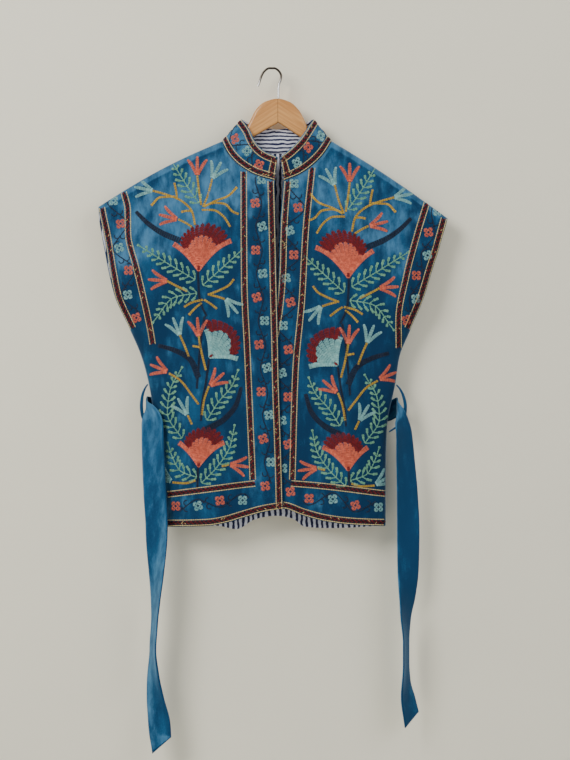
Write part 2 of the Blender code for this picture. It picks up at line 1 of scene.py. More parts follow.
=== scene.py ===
# %% [markdown]
# # An embroidered velvet waistcoat on a wooden hanger
# The waistcoat is deep teal cotton velvet, cut in two fronts and one back, with wide cap sleeves in one
# with the body, a stand collar, a striped cotton lining and a velvet tie belt. Flowers, ferns and braid are
# worked over the fronts in chain stitch.
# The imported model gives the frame: every piece below is made in its own place, in metres. The fronts face
# -Y, the wearer's left is at +X, and the hanger's hook hangs at the origin.

# %% The frame
from math import atan2, cos, hypot, pi, radians, sin

import bpy
import numpy as np
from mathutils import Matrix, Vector, noise
from mathutils.bvhtree import BVHTree


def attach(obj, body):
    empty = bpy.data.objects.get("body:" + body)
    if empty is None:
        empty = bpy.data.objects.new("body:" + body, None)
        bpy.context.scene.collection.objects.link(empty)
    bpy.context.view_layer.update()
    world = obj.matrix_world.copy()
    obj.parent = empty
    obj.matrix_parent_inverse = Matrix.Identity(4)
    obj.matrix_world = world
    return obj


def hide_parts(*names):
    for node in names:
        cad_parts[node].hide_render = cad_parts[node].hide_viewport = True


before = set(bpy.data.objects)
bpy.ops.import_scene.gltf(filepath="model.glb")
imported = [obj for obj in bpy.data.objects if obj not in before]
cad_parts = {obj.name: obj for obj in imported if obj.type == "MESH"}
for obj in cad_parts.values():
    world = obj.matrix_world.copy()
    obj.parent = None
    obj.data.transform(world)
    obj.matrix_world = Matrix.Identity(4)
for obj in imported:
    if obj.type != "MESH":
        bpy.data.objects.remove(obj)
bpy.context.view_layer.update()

MM = 0.001

# %% [markdown]
# ## Camera, wall and light
# The garment hangs in front of a pale wall, seen straight on from a few metres away. The wall is open from
# behind and lets lamplight through, so that the back of the garment can be looked at too, and a pale floor
# lies well below the belt. One large soft lamp stands to the upper left and a weaker one to the right, so
# that the nap of the velvet shows. A third stands behind and lights the back.

# %% Camera
VIEW_DISTANCE = 3.40
VIEW_HEIGHT = 1.254
FILM_SIDE = 36.0
camera_data = bpy.data.cameras.new("camera")
camera_data.sensor_width = FILM_SIDE
camera_data.lens = FILM_SIDE * VIEW_DISTANCE / VIEW_HEIGHT
camera = bpy.data.objects.new("camera", camera_data)
camera.location = (0.022, -VIEW_DISTANCE - 0.02, -0.516)
camera.rotation_euler = (radians(90.0), 0.0, 0.0)
bpy.context.scene.collection.objects.link(camera)
bpy.context.scene.camera = camera
print("lens:", round(camera_data.lens, 1), "mm")


# %% Lamps and the sky
def soft_lamp(name, place, aim, size, power, colour):
    lamp = bpy.data.lights.new(name, "AREA")
    lamp.shape = "DISK"
    lamp.size = size
    lamp.energy = power
    lamp.color = colour
    holder = bpy.data.objects.new(name, lamp)
    holder.location = place
    holder.rotation_euler = (Vector(aim) - Vector(place)).to_track_quat("-Z", "Y").to_euler()
    bpy.context.scene.collection.objects.link(holder)
    return holder


soft_lamp("window lamp", (-1.5, -2.1, 0.85), (0.0, 0.0, -0.35), 1.3, 62.0, (1.0, 0.985, 0.96))
soft_lamp("fill lamp", (1.9, -2.2, 0.55), (0.1, 0.0, -0.2), 1.8, 25.0, (0.96, 0.98, 1.0))
soft_lamp("back lamp", (0.9, 2.4, 0.6), (0.0, 0.0, -0.4), 1.8, 30.0, (1.0, 1.0, 1.0))
world = bpy.data.worlds.new("pale room")
bpy.context.scene.world = world
world.use_nodes = True
world.node_tree.nodes["Background"].inputs["Color"].default_value = (0.93, 0.95, 1.0, 1.0)
world.node_tree.nodes["Background"].inputs["Strength"].default_value = 0.42


# %% Wall and floor
def flat_board(name, corners):
    board = bpy.data.meshes.new(name)
    board.from_pydata(corners, [], [(0, 1, 2, 3)])
    holder = bpy.data.objects.new(name, board)
    bpy.context.scene.collection.objects.link(holder)
    return holder


def plaster(name, colour, see_through_from_behind):
    material = bpy.data.materials.new(name)
    material.use_nodes = True
    nodes, links = material.node_tree.nodes, material.node_tree.links
    shader = nodes["Principled BSDF"]
    shader.inputs["Roughness"].default_value = 0.95
    place = nodes.new("ShaderNodeTexCoord")
    cloud = nodes.new("ShaderNodeTexNoise")
    cloud.inputs["Scale"].default_value = 3.5
    cloud.inputs["Detail"].default_value = 6.0
    ramp = nodes.new("ShaderNodeValToRGB")
    ramp.color_ramp.elements[0].color = (*(0.93 * value for value in colour), 1.0)
    ramp.color_ramp.elements[1].color = (*colour, 1.0)
    bump = nodes.new("ShaderNodeBump")
    bump.inputs["Strength"].default_value = 0.12
    bump.inputs["Distance"].default_value = 0.004
    links.new(place.outputs["Object"], cloud.inputs["Vector"])
    links.new(cloud.outputs["Fac"], ramp.inputs["Fac"])
    links.new(ramp.outputs["Color"], shader.inputs["Base Color"])
    links.new(cloud.outputs["Fac"], bump.inputs["Height"])
    links.new(bump.outputs["Normal"], shader.inputs["Normal"])
    if see_through_from_behind:
        side = nodes.new("ShaderNodeNewGeometry")
        clear = nodes.new("ShaderNodeBsdfTransparent")
        either = nodes.new("ShaderNodeMixShader")
        rays = nodes.new("ShaderNodeLightPath")
        unseen = nodes.new("ShaderNodeMath")
        unseen.operation = "MAXIMUM"
        links.new(side.outputs["Backfacing"], unseen.inputs[0])
        links.new(rays.outputs["Is Shadow Ray"], unseen.inputs[1])
        links.new(unseen.outputs["Value"], either.inputs["Fac"])
        links.new(shader.outputs["BSDF"], either.inputs[1])
        links.new(clear.outputs["BSDF"], either.inputs[2])
        links.new(either.outputs["Shader"], nodes["Material Output"].inputs["Surface"])
    return material


WALL_Y = 0.034
FLOOR_Z = -1.62
wall_board = flat_board("wall", [(-1.6, WALL_Y, FLOOR_Z), (1.6, WALL_Y, FLOOR_Z), (1.6, WALL_Y, 0.9),
                                 (-1.6, WALL_Y, 0.9)])
wall_board.data.materials.append(plaster("wall plaster", (0.93, 0.885, 0.71), True))
floor_board = flat_board("floor", [(-4.0, -4.0, FLOOR_Z), (4.0, -4.0, FLOOR_Z), (4.0, 4.0, FLOOR_Z),
                                   (-4.0, 4.0, FLOOR_Z)])
floor_board.data.materials.append(plaster("pale floor", (0.78, 0.77, 0.74), True))

# %% [markdown]
# ## The cut of the cloth
# Each front is a soft shell that falls from the shoulder over the hanger's arm, fills out below it and
# closes again at the side seam. It could be draped by a simulation, but the real cloth is stiff with
# stitching and hangs almost flat, so its form is worked out from a few sections: where each section starts
# on the outer edge, where it ends on the centre or neck edge, and how far the cloth stands forward.
# The sections are the model's own, so the cloth lies where the model's walls lie, on a finer grid.

# %% Sizes of the cut, in millimetres
# Walls and gaps, in millimetres.
VELVET = 2.0
COTTON = 1.0
SEAM_GAP = 0.3
COLLAR_SEAM_GAP = 0.345  # gap along the sloping collar, which leaves the same gap square to the seam
HALF_SEAM = SEAM_GAP / 2
LINING_GAP = 0.6

# The hollow of the garment, in millimetres.
RIDGE_RADIUS = 11.0      # roundness of the shoulder over the hanger's arm
EASE_LENGTH = 150.0      # distance below the shoulder over which the body fills out
# How far a side stands out from the hanger's plane, how far it curves back towards the sides, and how far
# it swells below the shoulders and falls in at the waist.
FRONT_SHAPE = (31.0, 0.0, 0.0)
BACK_SHAPE = (19.5, 5.5, 2.5)
ARCH_WIDTH = 210.0       # distance from the middle at which the curve is that deep
SWAY_TOP = -300.0        # height at which the swell is fullest
SWAY_LENGTH = 620.0      # height of one swell and one hollow
SIDE_ROUND = 80.0        # width of the rounded strip beside a side seam
ARMHOLE_SHARE = 0.42     # how far the armhole edges stand apart low down, as a share of the depth
CAP_TIP_SHARE = 0.80     # the same at the tip of the cap
LAP_LIFT = 2.4           # how far the right front stands forward, and the left front back, where they lap
LAP_FROM = 0.55          # share of a front's width, from its side, at which the lap starts to lift
LAP_SHARE = 0.35         # share of the width over which it lifts
LAP_TOP = -240.0         # height at which the lap starts
LAP_LENGTH = 120.0       # height over which it grows
CROWDING = 0.55          # how far the columns crowd towards the open side, from even to fully
HEM_SECTIONS = 3.0       # sections over which the hem's shape fades out
FOLD_ENDS = 0.7          # how abruptly a fold starts and ends; less is more abrupt

# Rows and columns of the fine grid of a half panel.
COLUMNS = 64
ROWS_BELOW_NECK = 104
NECK_STATIONS = [*np.linspace(8.0, 11.0, 13)[1:], *np.linspace(11.0, 12.0, 13)[1:]]

# Sections of the right front, from hem to shoulder: where each starts on the outer edge and ends on the
# centre or neck edge, and how far its middle rises.
RIGHT_FRONT = [
    # section       outer_x outer_z inner_x inner_z  rise
    ("hem",         -175.0, -759.0,   19.0, -728.0,   0.0),
    ("low hip",     -182.0, -690.0,   17.5, -668.0,   0.0),
    ("hip",         -192.0, -600.0,   15.0, -590.0,   0.0),
    ("waist",       -204.0, -523.0,   12.5, -515.0,   0.0),
    ("rib",         -216.0, -478.0,   11.5, -460.0,   0.0),
    ("underarm",    -235.0, -433.0,   10.0, -405.0,   0.0),
    ("low cap",     -259.0, -378.0,    8.5, -340.0,   0.0),
    ("cap",         -268.0, -335.0,    7.0, -265.0,   2.0),
    ("neck base",   -275.0, -293.0,    5.0, -188.0,   4.0),
    ("low neck",    -279.0, -272.0,  -27.0, -178.0,   5.0),
    ("neck",        -283.0, -254.0,  -58.0, -158.0,   6.0),
    ("high neck",   -286.0, -240.0,  -74.0, -139.0,   7.0),
    ("shoulder",    -288.0, -229.0,  -83.0, -120.0,   7.0),
]
LEFT_FRONT = [
    ("hem",          189.0, -758.0,  -16.0, -728.0,   0.0),
    ("low hip",      189.0, -684.0,  -14.0, -668.0,   0.0),
    ("hip",          191.0, -598.0,  -11.0, -590.0,   0.0),
    ("waist",        205.0, -523.0,   -8.0, -515.0,   0.0),
    ("rib",          212.0, -478.0,   -3.0, -460.0,   0.0),
    ("underarm",     230.0, -433.0,    6.0, -405.0,   0.0),
    ("low cap",      252.0, -380.0,   12.0, -340.0,   0.0),
    ("cap",          265.0, -338.0,   14.0, -265.0,   2.0),
    ("neck base",    278.0, -298.0,   20.0, -188.0,   3.0),
    ("low neck",     283.0, -280.0,   44.0, -178.0,   4.0),
    ("neck",         287.0, -266.0,   67.0, -162.0,   4.0),
    ("high neck",    290.0, -255.0,   87.0, -141.0,   4.0),
    ("shoulder",     292.0, -248.0,  100.0, -120.0,   4.0),
]
UNDERARM = 5             # the section where the side seam ends and the armhole starts
NECK_BASE = 8            # the section where the centre edge ends and the neckline starts
SHOULDER = 12            # the section along the shoulder seam

# The back has the fronts' outer edges, and its own centre line and neckline.
BACK_CENTRE = [
    # section     inner_x inner_z
    ("hem",           8.0, -742.0),
    ("low hip",       8.0, -674.0),
    ("hip",           8.0, -592.0),
    ("waist",         8.0, -515.0),
    ("rib",           8.0, -456.0),
    ("underarm",      8.0, -400.0),
    ("low cap",       8.0, -330.0),
    ("cap",           8.0, -245.0),
    ("neck base",     8.0, -139.0),
]
BACK_CAP_REACH = 5.0     # how far the back of the right cap shows past the front of it

# Height of the hems along X.
FRONT_HEM = [
    # x       z
    (-175.0, -759.0),
    (-105.0, -756.0),
    (-66.0, -749.0),
    (-27.0, -737.0),
    (19.0, -728.0),
    (32.0, -731.0),
    (53.0, -740.0),
    (90.0, -749.0),
    (129.0, -754.0),
    (189.0, -758.0),
]
BACK_HEM = [
    (-175.0, -759.0),
    (-93.0, -759.0),
    (-59.0, -765.0),
    (-27.0, -748.0),
    (8.0, -742.0),
    (34.0, -747.0),
    (55.0, -761.0),
    (90.0, -763.0),
    (189.0, -758.0),
]

# The largest folds: each runs from its top to its foot as a rounded ridge, or a trough where the height
# is negative, and dies away at both ends.
FRONT_FOLDS = [
    # top_x   top_z   foot_x  foot_z  width height
    (-112.0, -150.0, -122.0, -330.0, 13.0,  3.2),
    (-222.0, -215.0, -196.0, -470.0, 16.0,  3.0),
    (-150.0, -360.0, -190.0, -520.0, 16.0, -2.6),
    (-118.0, -470.0,  -90.0, -900.0, 22.0,  4.0),
    (-48.0, -560.0,  -38.0, -920.0, 20.0, -3.2),
    (122.0, -160.0,  128.0, -330.0, 13.0,  3.0),
    (228.0, -245.0,  200.0, -470.0, 16.0,  3.0),
    (152.0, -360.0,  192.0, -520.0, 16.0, -2.6),
    (120.0, -480.0,  110.0, -910.0, 22.0,  3.6),
    (66.0, -540.0,   52.0, -920.0, 18.0, -3.4),
]
BACK_FOLDS = [
    (-130.0, -200.0, -112.0, -520.0, 18.0,  2.4),
    (-140.0, -520.0, -104.0, -930.0, 20.0, -2.6),
    (-66.0, -470.0,  -56.0, -960.0, 24.0,  4.4),
    (4.0, -500.0,      4.0, -960.0, 26.0, -4.4),
    (66.0, -470.0,   56.0, -960.0, 24.0,  4.4),
    (146.0, -520.0,  124.0, -930.0, 20.0, -2.6),
    (140.0, -210.0,  120.0, -520.0, 18.0,  2.4),
]

# The collar's top edge, by the section of the neckline below it: 0 at the front end, 4 at the neck point,
# 8 at centre back.
COLLAR_RIGHT_TOP = [
    # along  x      y      z
    (0.0,   10.0, -28.0, -149.0),
    (1.0,  -12.0, -26.0, -139.0),
    (2.0,  -27.0, -21.5, -124.0),
    (3.0,  -37.0, -14.5, -102.0),
    (4.0,  -50.0,   0.0,  -83.0),
    (5.0,  -40.0,   9.5,  -87.0),
    (6.0,  -24.0,  12.5,  -93.0),
    (7.0,   -8.0,  15.0,  -97.0),
    (8.0,    8.0,  16.0,  -99.0),
]
COLLAR_LEFT_TOP = [
    (0.0,   14.5, -28.0, -149.0),
    (1.0,   27.0, -26.0, -138.5),
    (2.0,   42.0, -21.5, -124.0),
    (3.0,   55.0, -14.5, -106.0),
    (4.0,   69.0,   0.0,  -83.0),
    (5.0,   58.0,   9.5,  -87.0),
    (6.0,   41.0,  12.5,  -93.0),
    (7.0,   25.0,  15.0,  -97.0),
    (8.0,    8.0,  16.0,  -99.0),
]
COLLAR_ROWS = 12


# %% Smooth lines through a few values
def smooth_through(knots, values, at):
    """Values at any place between knots, on a smooth curve that never overshoots a knot."""
    knots, values, at = (np.asarray(each, float) for each in (knots, values, at))
    steps = np.diff(knots)
    slopes = np.diff(values) / steps
    tangents = np.zeros_like(values)
    same_way = slopes[:-1] * slopes[1:] > 0
    before = np.where(same_way, slopes[:-1], 1.0)
    after = np.where(same_way, slopes[1:], 1.0)
    tangents[1:-1] = np.where(same_way, 2 * before * after / (before + after), 0.0)
    tangents[0] = slopes[0]
    tangents[-1] = slopes[-1]
    span = np.clip(np.searchsorted(knots, at, side="right") - 1, 0, len(steps) - 1)
    step = steps[span]
    t = (at - knots[span]) / step
    rise = values[span + 1] - values[span]
    bend_in = tangents[span] * step - rise
    bend_out = rise - tangents[span + 1] * step
    return values[span] + t * rise + t * (1 - t) * ((1 - t) * bend_in + t * bend_out)


def ease(t):
    """From 0 to 1 with a level start and end."""
    t = np.clip(t, 0.0, 1.0)
    return t * t * (3 - 2 * t)


# %% [markdown]
# ## Creases
# The large folds are in the model. The velvet also has smaller creases that start at the shoulders, the
# underarms and the waist, where the belt draws it in. Each is one soft ridge or trough with its own length,
# width and height, and a little unevenness runs all over, because hand stitching draws the cloth up.

# %% Creases of the fronts and the back
FRONT_CREASES = [
    # top_x   top_z   foot_x  foot_z  width height
    (-92.0, -140.0, -120.0, -345.0,  5.5,  2.4),
    (-105.0, -170.0, -140.0, -300.0, 9.0, -1.2),
    (-192.0, -200.0, -232.0, -300.0, 9.0,  2.4),
    (-232.0, -250.0, -206.0, -420.0, 7.0,  1.7),
    (-205.0, -405.0, -166.0, -520.0, 8.0,  2.0),
    (-228.0, -425.0, -196.0, -505.0, 6.0, -1.3),
    (-100.0, -350.0, -112.0, -440.0, 6.0,  1.5),
    (-140.0, -500.0, -112.0, -640.0, 7.0,  1.8),
    (-166.0, -560.0, -150.0, -720.0, 8.0, -1.5),
    (-84.0, -600.0,  -80.0, -800.0,  9.0,  1.6),
    (-136.0, -640.0, -132.0, -800.0, 9.0,  1.4),
    (-20.0, -640.0,  -14.0, -810.0,  8.0,  1.3),
    (-30.0, -200.0,  -24.0, -420.0,  8.0,  1.0),
    (-62.0, -190.0,  -58.0, -380.0,  7.0, -1.0),
    (-40.0, -420.0,  -34.0, -600.0,  9.0, -1.1),
    (104.0, -140.0,  112.0, -300.0,  6.0,  2.2),
    (118.0, -150.0,  150.0, -290.0,  9.0, -1.2),
    (196.0, -205.0,  236.0, -310.0,  9.0,  2.2),
    (238.0, -270.0,  214.0, -430.0,  7.0,  1.6),
    (210.0, -410.0,  170.0, -515.0,  8.0,  2.0),
    (226.0, -425.0,  200.0, -505.0,  6.0, -1.2),
    (112.0, -370.0,  126.0, -470.0,  7.0,  1.4),
    (146.0, -500.0,  120.0, -640.0,  7.0,  1.6),
    (172.0, -550.0,  160.0, -720.0,  8.0, -1.4),
    (40.0, -640.0,   34.0, -810.0,   8.0,  1.8),
    (90.0, -620.0,   88.0, -810.0,   9.0,  1.5),
    (145.0, -650.0, 142.0, -810.0,   9.0,  1.2),
    (60.0, -200.0,   44.0, -420.0,   8.0,  1.1),
    (30.0, -430.0,   22.0, -600.0,   9.0, -1.1),
]
BACK_CREASES = [
    (-150.0, -190.0, -176.0, -330.0, 8.0,  1.8),
    (-205.0, -400.0, -150.0, -500.0, 9.0,  1.8),
    (-60.0, -170.0,  -70.0, -340.0,  8.0,  1.2),
    (-100.0, -560.0, -96.0, -800.0,  9.0,  1.8),
    (-20.0, -560.0,  -16.0, -810.0,  9.0,  1.4),
    (30.0, -600.0,   32.0, -820.0,   8.0,  1.6),
    (92.0, -570.0,   90.0, -800.0,   9.0,  1.7),
    (80.0, -180.0,   92.0, -350.0,   8.0,  1.2),
    (160.0, -200.0, 186.0, -340.0,   8.0,  1.8),
    (208.0, -405.0, 155.0, -505.0,   9.0,  1.8),
]
UNEVEN = 0.70            # how far hand stitching draws the cloth up and down
UNEVEN_SIZE = 26.0


def unevenness(x, z, seed):
    """A slow, gentle waviness, in millimetres."""
    flat = [noise.noise(Vector((a / UNEVEN_SIZE, b / UNEVEN_SIZE, seed))) for a, b in zip(x.flat, z.flat)]
    return UNEVEN * np.array(flat).reshape(x.shape)


# %% Surface of a half panel
def stations():
    """The rows of a half panel, counted in sections."""
    below = np.linspace(0.0, NECK_BASE, ROWS_BELOW_NECK + 1)
    return np.concatenate([below, NECK_STATIONS])


def edges_of(sections):
    """Points along a front's outer edge and along its centre edge and neckline, as (x, z) by row."""
    at = stations()
    table = np.array([section[1:] for section in sections])
    knots = np.arange(len(table))
    outer = np.stack([smooth_through(knots, table[:, k], at) for k in (0, 1)], axis=1)
    below = at <= NECK_BASE
    centre, neck = slice(0, NECK_BASE + 1), slice(NECK_BASE, None)
    inner = np.empty_like(outer)
    for axis, column in ((0, 2), (1, 3)):
        values = table[:, column]
        inner[below, axis] = smooth_through(knots[centre], values[centre], at[below])
        inner[~below, axis] = smooth_through(knots[neck], values[neck], at[~below])
    rise = np.interp(at, knots, table[:, 4])
    return outer, inner, rise


def back_edges_of(front_sections, cap_reach):
    """The same for one half of the back: the front's outer edge, the back's centre line and neckline."""
    at = stations()
    outer, front_inner, rise = edges_of(front_sections)
    on_cap = np.clip((at - UNDERARM) / (SHOULDER - UNDERARM), 0.0, 1.0)
    outer[:, 0] += cap_reach * np.sin(pi * on_cap)
    table = np.array([section[1:] for section in BACK_CENTRE])
    below = at <= NECK_BASE
    inner = np.empty_like(outer)
    for axis in (0, 1):
        inner[below, axis] = smooth_through(np.arange(len(table)), table[:, axis], at[below])
    turn = (at[~below] - NECK_BASE) / (SHOULDER - NECK_BASE) * pi / 2
    neck_point = front_inner[-1]
    base = table[-1]
    inner[~below, 0] = base[0] + (neck_point[0] - base[0]) * np.sin(turn)
    inner[~below, 1] = base[1] + (neck_point[1] - base[1]) * (1 - np.cos(turn))
    return outer, inner, rise


def fold_height(folds, x, z):
    """How far the folds lift the cloth at each place."""
    lift = np.zeros_like(x)
    for top_x, top_z, foot_x, foot_z, width, height in folds:
        t = np.clip((top_z - z) / (top_z - foot_z), 0.0, 1.0)
        middle = top_x + (foot_x - top_x) * t
        lift += height * np.sin(pi * t) ** FOLD_ENDS * np.exp(-(((x - middle) / width) ** 2))
    return lift


CREASE_START = 45.0      # distance below the shoulder over which the small creases begin


def half_panel(edges, hem, folds, creases, shape, outward, seed, lap=0.0):
    """A half panel's outer face and the directions out of it, as rows of points in millimetres."""
    outer, inner, rise = edges
    depth, arch, sway = shape
    at = stations()
    even = np.linspace(0.0, 1.0, COLUMNS + 1)
    across = CROWDING * (1 - np.cos(even * pi / 2)) + (1 - CROWDING) * even
    span = inner - outer
    x = outer[:, :1] + span[:, :1] * across
    z = outer[:, 1:] + span[:, 1:] * across + rise[:, None] * np.sin(pi * across)
    hem_x, hem_z = np.array(hem).T
    drop = smooth_through(hem_x, hem_z, x[0]) - z[0]
    z += drop * (1 - ease(at / HEM_SECTIONS))[:, None]
    from_side = np.hypot(x - x[:, :1], z - z[:, :1])
    below_ridge = np.hypot(x - x[-1], z - z[-1])
    hanging = ease(below_ridge / EASE_LENGTH)
    rounding = np.minimum(below_ridge / RIDGE_RADIUS, 1.0)
    fullness = RIDGE_RADIUS * np.sqrt(1 - (1 - rounding) ** 2)
    hollow = arch * (x / ARCH_WIDTH) ** 2 - sway * np.cos(2 * pi * (z - SWAY_TOP) / SWAY_LENGTH)
    fullness += (depth - RIDGE_RADIUS - hollow) * hanging
    side = np.sqrt(1 - (1 - np.minimum(from_side / SIDE_ROUND, 1.0)) ** 2)
    widening = (CAP_TIP_SHARE - ARMHOLE_SHARE) * ease((at - NECK_BASE) / 2.0)
    open_edge = (ARMHOLE_SHARE * ease(at - UNDERARM) + widening)[:, None]
    side = open_edge + (1 - open_edge) * side
    fullness *= side
    fullness += fold_height(folds, x, z) * side * hanging
    settled = side * ease(below_ridge / CREASE_START)
    fullness += (fold_height(creases, x, z) + unevenness(x, z, seed)) * settled
    lapping = ease((across - LAP_FROM) / LAP_SHARE) * ease((LAP_TOP - z) / LAP_LENGTH)
    fullness += lap * lapping
    points = np.stack([x, outward * (HALF_SEAM + fullness), z], axis=2)
    return points, directions_out(points, outward)


def directions_out(points, outward):
    """Unit directions square to the cloth; along the seams they stay in the seam's plane."""
    along_rows = np.gradient(points, axis=1)
    along_columns = np.gradient(points, axis=0)
    normals = np.cross(along_columns, along_rows)
    middle = normals[len(normals) // 2, normals.shape[1] // 2, 1]
    normals *= 1.0 if middle * outward > 0 else -1.0
    under = stations() <= UNDERARM
    normals[under, 0, 1] = 0.0
    normals[-1, :, 1] = 0.0
    return normals / np.linalg.norm(normals, axis=2, keepdims=True)


# %% [markdown]
# ## Finishes
# Velvet is matt and dark where one looks into its pile, and pale where the pile leans away or catches the
# light, so it is a dark base colour with sheen, broken by patches where the nap was brushed the other way.
# Light is also painted into the base colour: it is lighter where the cloth faces up and towards the lamp on
# the left and darker where it faces down, a painted highlight and shade that brings out the folds.
# An effect that several materials share is a node group with named inputs and outputs. The sheen is the same
# all over, so it is set on the shader itself.

# %% Node group helpers
def new_group(name, inputs, outputs):
    group = bpy.data.node_groups.new(name, "ShaderNodeTree")
    for label, kind, value in inputs:
        socket = group.interface.new_socket(label, in_out="INPUT", socket_type=kind)
        if value is not None:
            socket.default_value = value
    for label, kind in outputs:
        group.interface.new_socket(label, in_out="OUTPUT", socket_type=kind)
    return group, group.nodes.new("NodeGroupInput"), group.nodes.new("NodeGroupOutput")


def math_node(tree, operation, *values):
    """A Math node; a value that is a socket is linked, and a number is set."""
    node = tree.nodes.new("ShaderNodeMath")
    node.operation = operation
    for socket, value in zip(node.inputs, values):
        if isinstance(value, (int, float)):
            socket.default_value = value
        else:
            tree.links.new(value, socket)
    return node.outputs["Value"]


def mix_colours(tree, share, first, second):
    node = tree.nodes.new("ShaderNodeMix")
    node.data_type = "RGBA"
    tree.links.new(share, node.inputs["Factor"])
    for socket, value in ((node.inputs["A"], first), (node.inputs["B"], second)):
        if isinstance(value, tuple):
            socket.default_value = value
        else:
            tree.links.new(value, socket)
    return node.outputs["Result"]


def noise_node(tree, vector, scale, detail=3.0, rough=0.5):
    node = tree.nodes.new("ShaderNodeTexNoise")
    node.inputs["Scale"].default_value = scale
    node.inputs["Detail"].default_value = detail
    node.inputs["Roughness"].default_value = rough
    tree.links.new(vector, node.inputs["Vector"])
    return node.outputs["Fac"]


def stretched(tree, vector, scale):
    node = tree.nodes.new("ShaderNodeMapping")
    node.inputs["Scale"].default_value = scale
    tree.links.new(vector, node.inputs["Vector"])
    return node.outputs["Vector"]


def steps_between(tree, value, low, high):
    node = tree.nodes.new("ShaderNodeMapRange")
    node.interpolation_type = "SMOOTHSTEP"
    node.inputs["From Min"].default_value = low
    node.inputs["From Max"].default_value = high
    tree.links.new(value, node.inputs["Value"])
    return node.outputs["Result"]


# %% Velvet nap, as a group
PILE_RELIEF = 0.35       # share of the fine pile in the nap's height
STREAK_RELIEF = 0.9      # share of the brushed streaks in it
nap, nap_in, nap_out = new_group(
    "velvet nap and painted light",
    [("Vector", "NodeSocketVector", None), ("Normal", "NodeSocketVector", None),
     ("Deep", "NodeSocketColor", (0.0, 0.03, 0.1, 1.0)),
     ("Brushed", "NodeSocketColor", (0.0, 0.1, 0.25, 1.0)),
     ("Crushed", "NodeSocketColor", (0.1, 0.25, 0.4, 1.0))],
    [("Colour", "NodeSocketColor"), ("Height", "NodeSocketFloat")],
)
falling = stretched(nap, nap_in.outputs["Vector"], (26.0, 10.0, 10.0))
patches = steps_between(nap, noise_node(nap, falling, 1.0, 5.0, 0.6), 0.34, 0.74)
streaks = noise_node(nap, stretched(nap, nap_in.outputs["Vector"], (80.0, 30.0, 30.0)), 1.0, 4.0, 0.6)
pile = noise_node(nap, nap_in.outputs["Vector"], 420.0, 4.0, 0.7)
pile_and_painted_light = math_node(nap, "ADD", math_node(nap, "MULTIPLY", patches, 0.55),
                math_node(nap, "MULTIPLY", steps_between(nap, streaks, 0.45, 0.75), 0.35))
pile_and_painted_light = math_node(nap, "ADD", pile_and_painted_light, math_node(nap, "MULTIPLY", math_node(nap, "SUBTRACT", pile, 0.5), 0.95))
# Painted light: the colour is painted lighter where the cloth faces up and towards the lamp on the left, and
# darker where it faces down, so folds and creases show painted highlights and shade.
facing = nap.nodes.new("ShaderNodeSeparateXYZ")
nap.links.new(nap_in.outputs["Normal"], facing.inputs["Vector"])
tilt = math_node(nap, "SUBTRACT", math_node(nap, "MULTIPLY", facing.outputs["Z"], 1.6),
                 math_node(nap, "MULTIPLY", facing.outputs["X"], 0.4))
tilt = math_node(nap, "MAXIMUM", math_node(nap, "MINIMUM", tilt, 0.28), -0.25)
pile_and_painted_light = math_node(nap, "ADD", pile_and_painted_light, tilt)
brushed_and_lit = mix_colours(
    nap, steps_between(nap, pile_and_painted_light, 0.0, 1.0), nap_in.outputs["Deep"], nap_in.outputs["Brushed"])
# The pale crushed colour comes in along the streaks of crushed pile, and also as a painted highlight where
# the cloth faces up towards the lamp.
crushed_and_lit_share = steps_between(nap, math_node(nap, "ADD", tilt, math_node(nap, "MULTIPLY", streaks, 0.75)), 0.42, 0.92)
nap.links.new(mix_colours(nap, crushed_and_lit_share, brushed_and_lit, nap_in.outputs["Crushed"]), nap_out.inputs["Colour"])
height = math_node(
    nap, "ADD", math_node(nap, "MULTIPLY", pile, PILE_RELIEF),
    math_node(nap, "MULTIPLY", streaks, STREAK_RELIEF))
nap.links.new(height, nap_out.inputs["Height"])


# %% The velvet of the garment and the belt
def principled(name, roughness):
    material = bpy.data.materials.new(name)
    material.use_nodes = True
    shader = material.node_tree.nodes["Principled BSDF"]
    shader.inputs["Roughness"].default_value = roughness
    return material, material.node_tree, shader


def place_group(tree, group, vector, **values):
    node = tree.nodes.new("ShaderNodeGroup")
    node.node_tree = group
    tree.links.new(vector, node.inputs["Vector"])
    for label, value in values.items():
        node.inputs[label].default_value = value
    return node


def bump_from(tree, shader, height, distance, strength=0.5):
    bump = tree.nodes.new("ShaderNodeBump")
    bump.inputs["Strength"].default_value = strength
    bump.inputs["Distance"].default_value = distance
    tree.links.new(height, bump.inputs["Height"])
    tree.links.new(bump.outputs["Normal"], shader.inputs["Normal"])


def velvet(name, deep, brushed_and_lit, crushed_and_lit, sheen_tint, sheen):
    material, tree, shader = principled(name, 0.88)
    shader.inputs["Specular IOR Level"].default_value = 0.15
    shader.inputs["Sheen Weight"].default_value = sheen
    shader.inputs["Sheen Roughness"].default_value = 0.38
    shader.inputs["Sheen Tint"].default_value = sheen_tint
    place = tree.nodes.new("ShaderNodeTexCoord")
    node = place_group(tree, nap, place.outputs["UV"], Deep=deep, Brushed=brushed_and_lit, Crushed=crushed_and_lit)
    tree.links.new(place.outputs["Normal"], node.inputs["Normal"])
    tree.links.new(node.outputs["Colour"], shader.inputs["Base Color"])
    bump_from(tree, shader, node.outputs["Height"], 0.0009, 0.6)
    return material


garment_velvet = velvet("teal blue velvet", (0.0030, 0.029, 0.078, 1.0), (0.015, 0.095, 0.205, 1.0),
                        (0.075, 0.215, 0.365, 1.0), (0.42, 0.68, 0.92, 1.0), 0.24)
# The belt and its loops are the garment's velvet with the colours painted lighter: a painted highlight for
# the light that the hanging belt catches.
belt_velvet_painted_lighter = velvet("belt velvet", (0.0045, 0.043, 0.112, 1.0), (0.020, 0.115, 0.245, 1.0),
                     (0.080, 0.235, 0.39, 1.0), (0.42, 0.68, 0.92, 1.0), 0.34)

# %% [markdown]
# The lining is plain white cotton with navy stripes printed by hand, so their edges wander a little. The
# stripes run down the back and round the collar, because the maker cut the collar lining across.

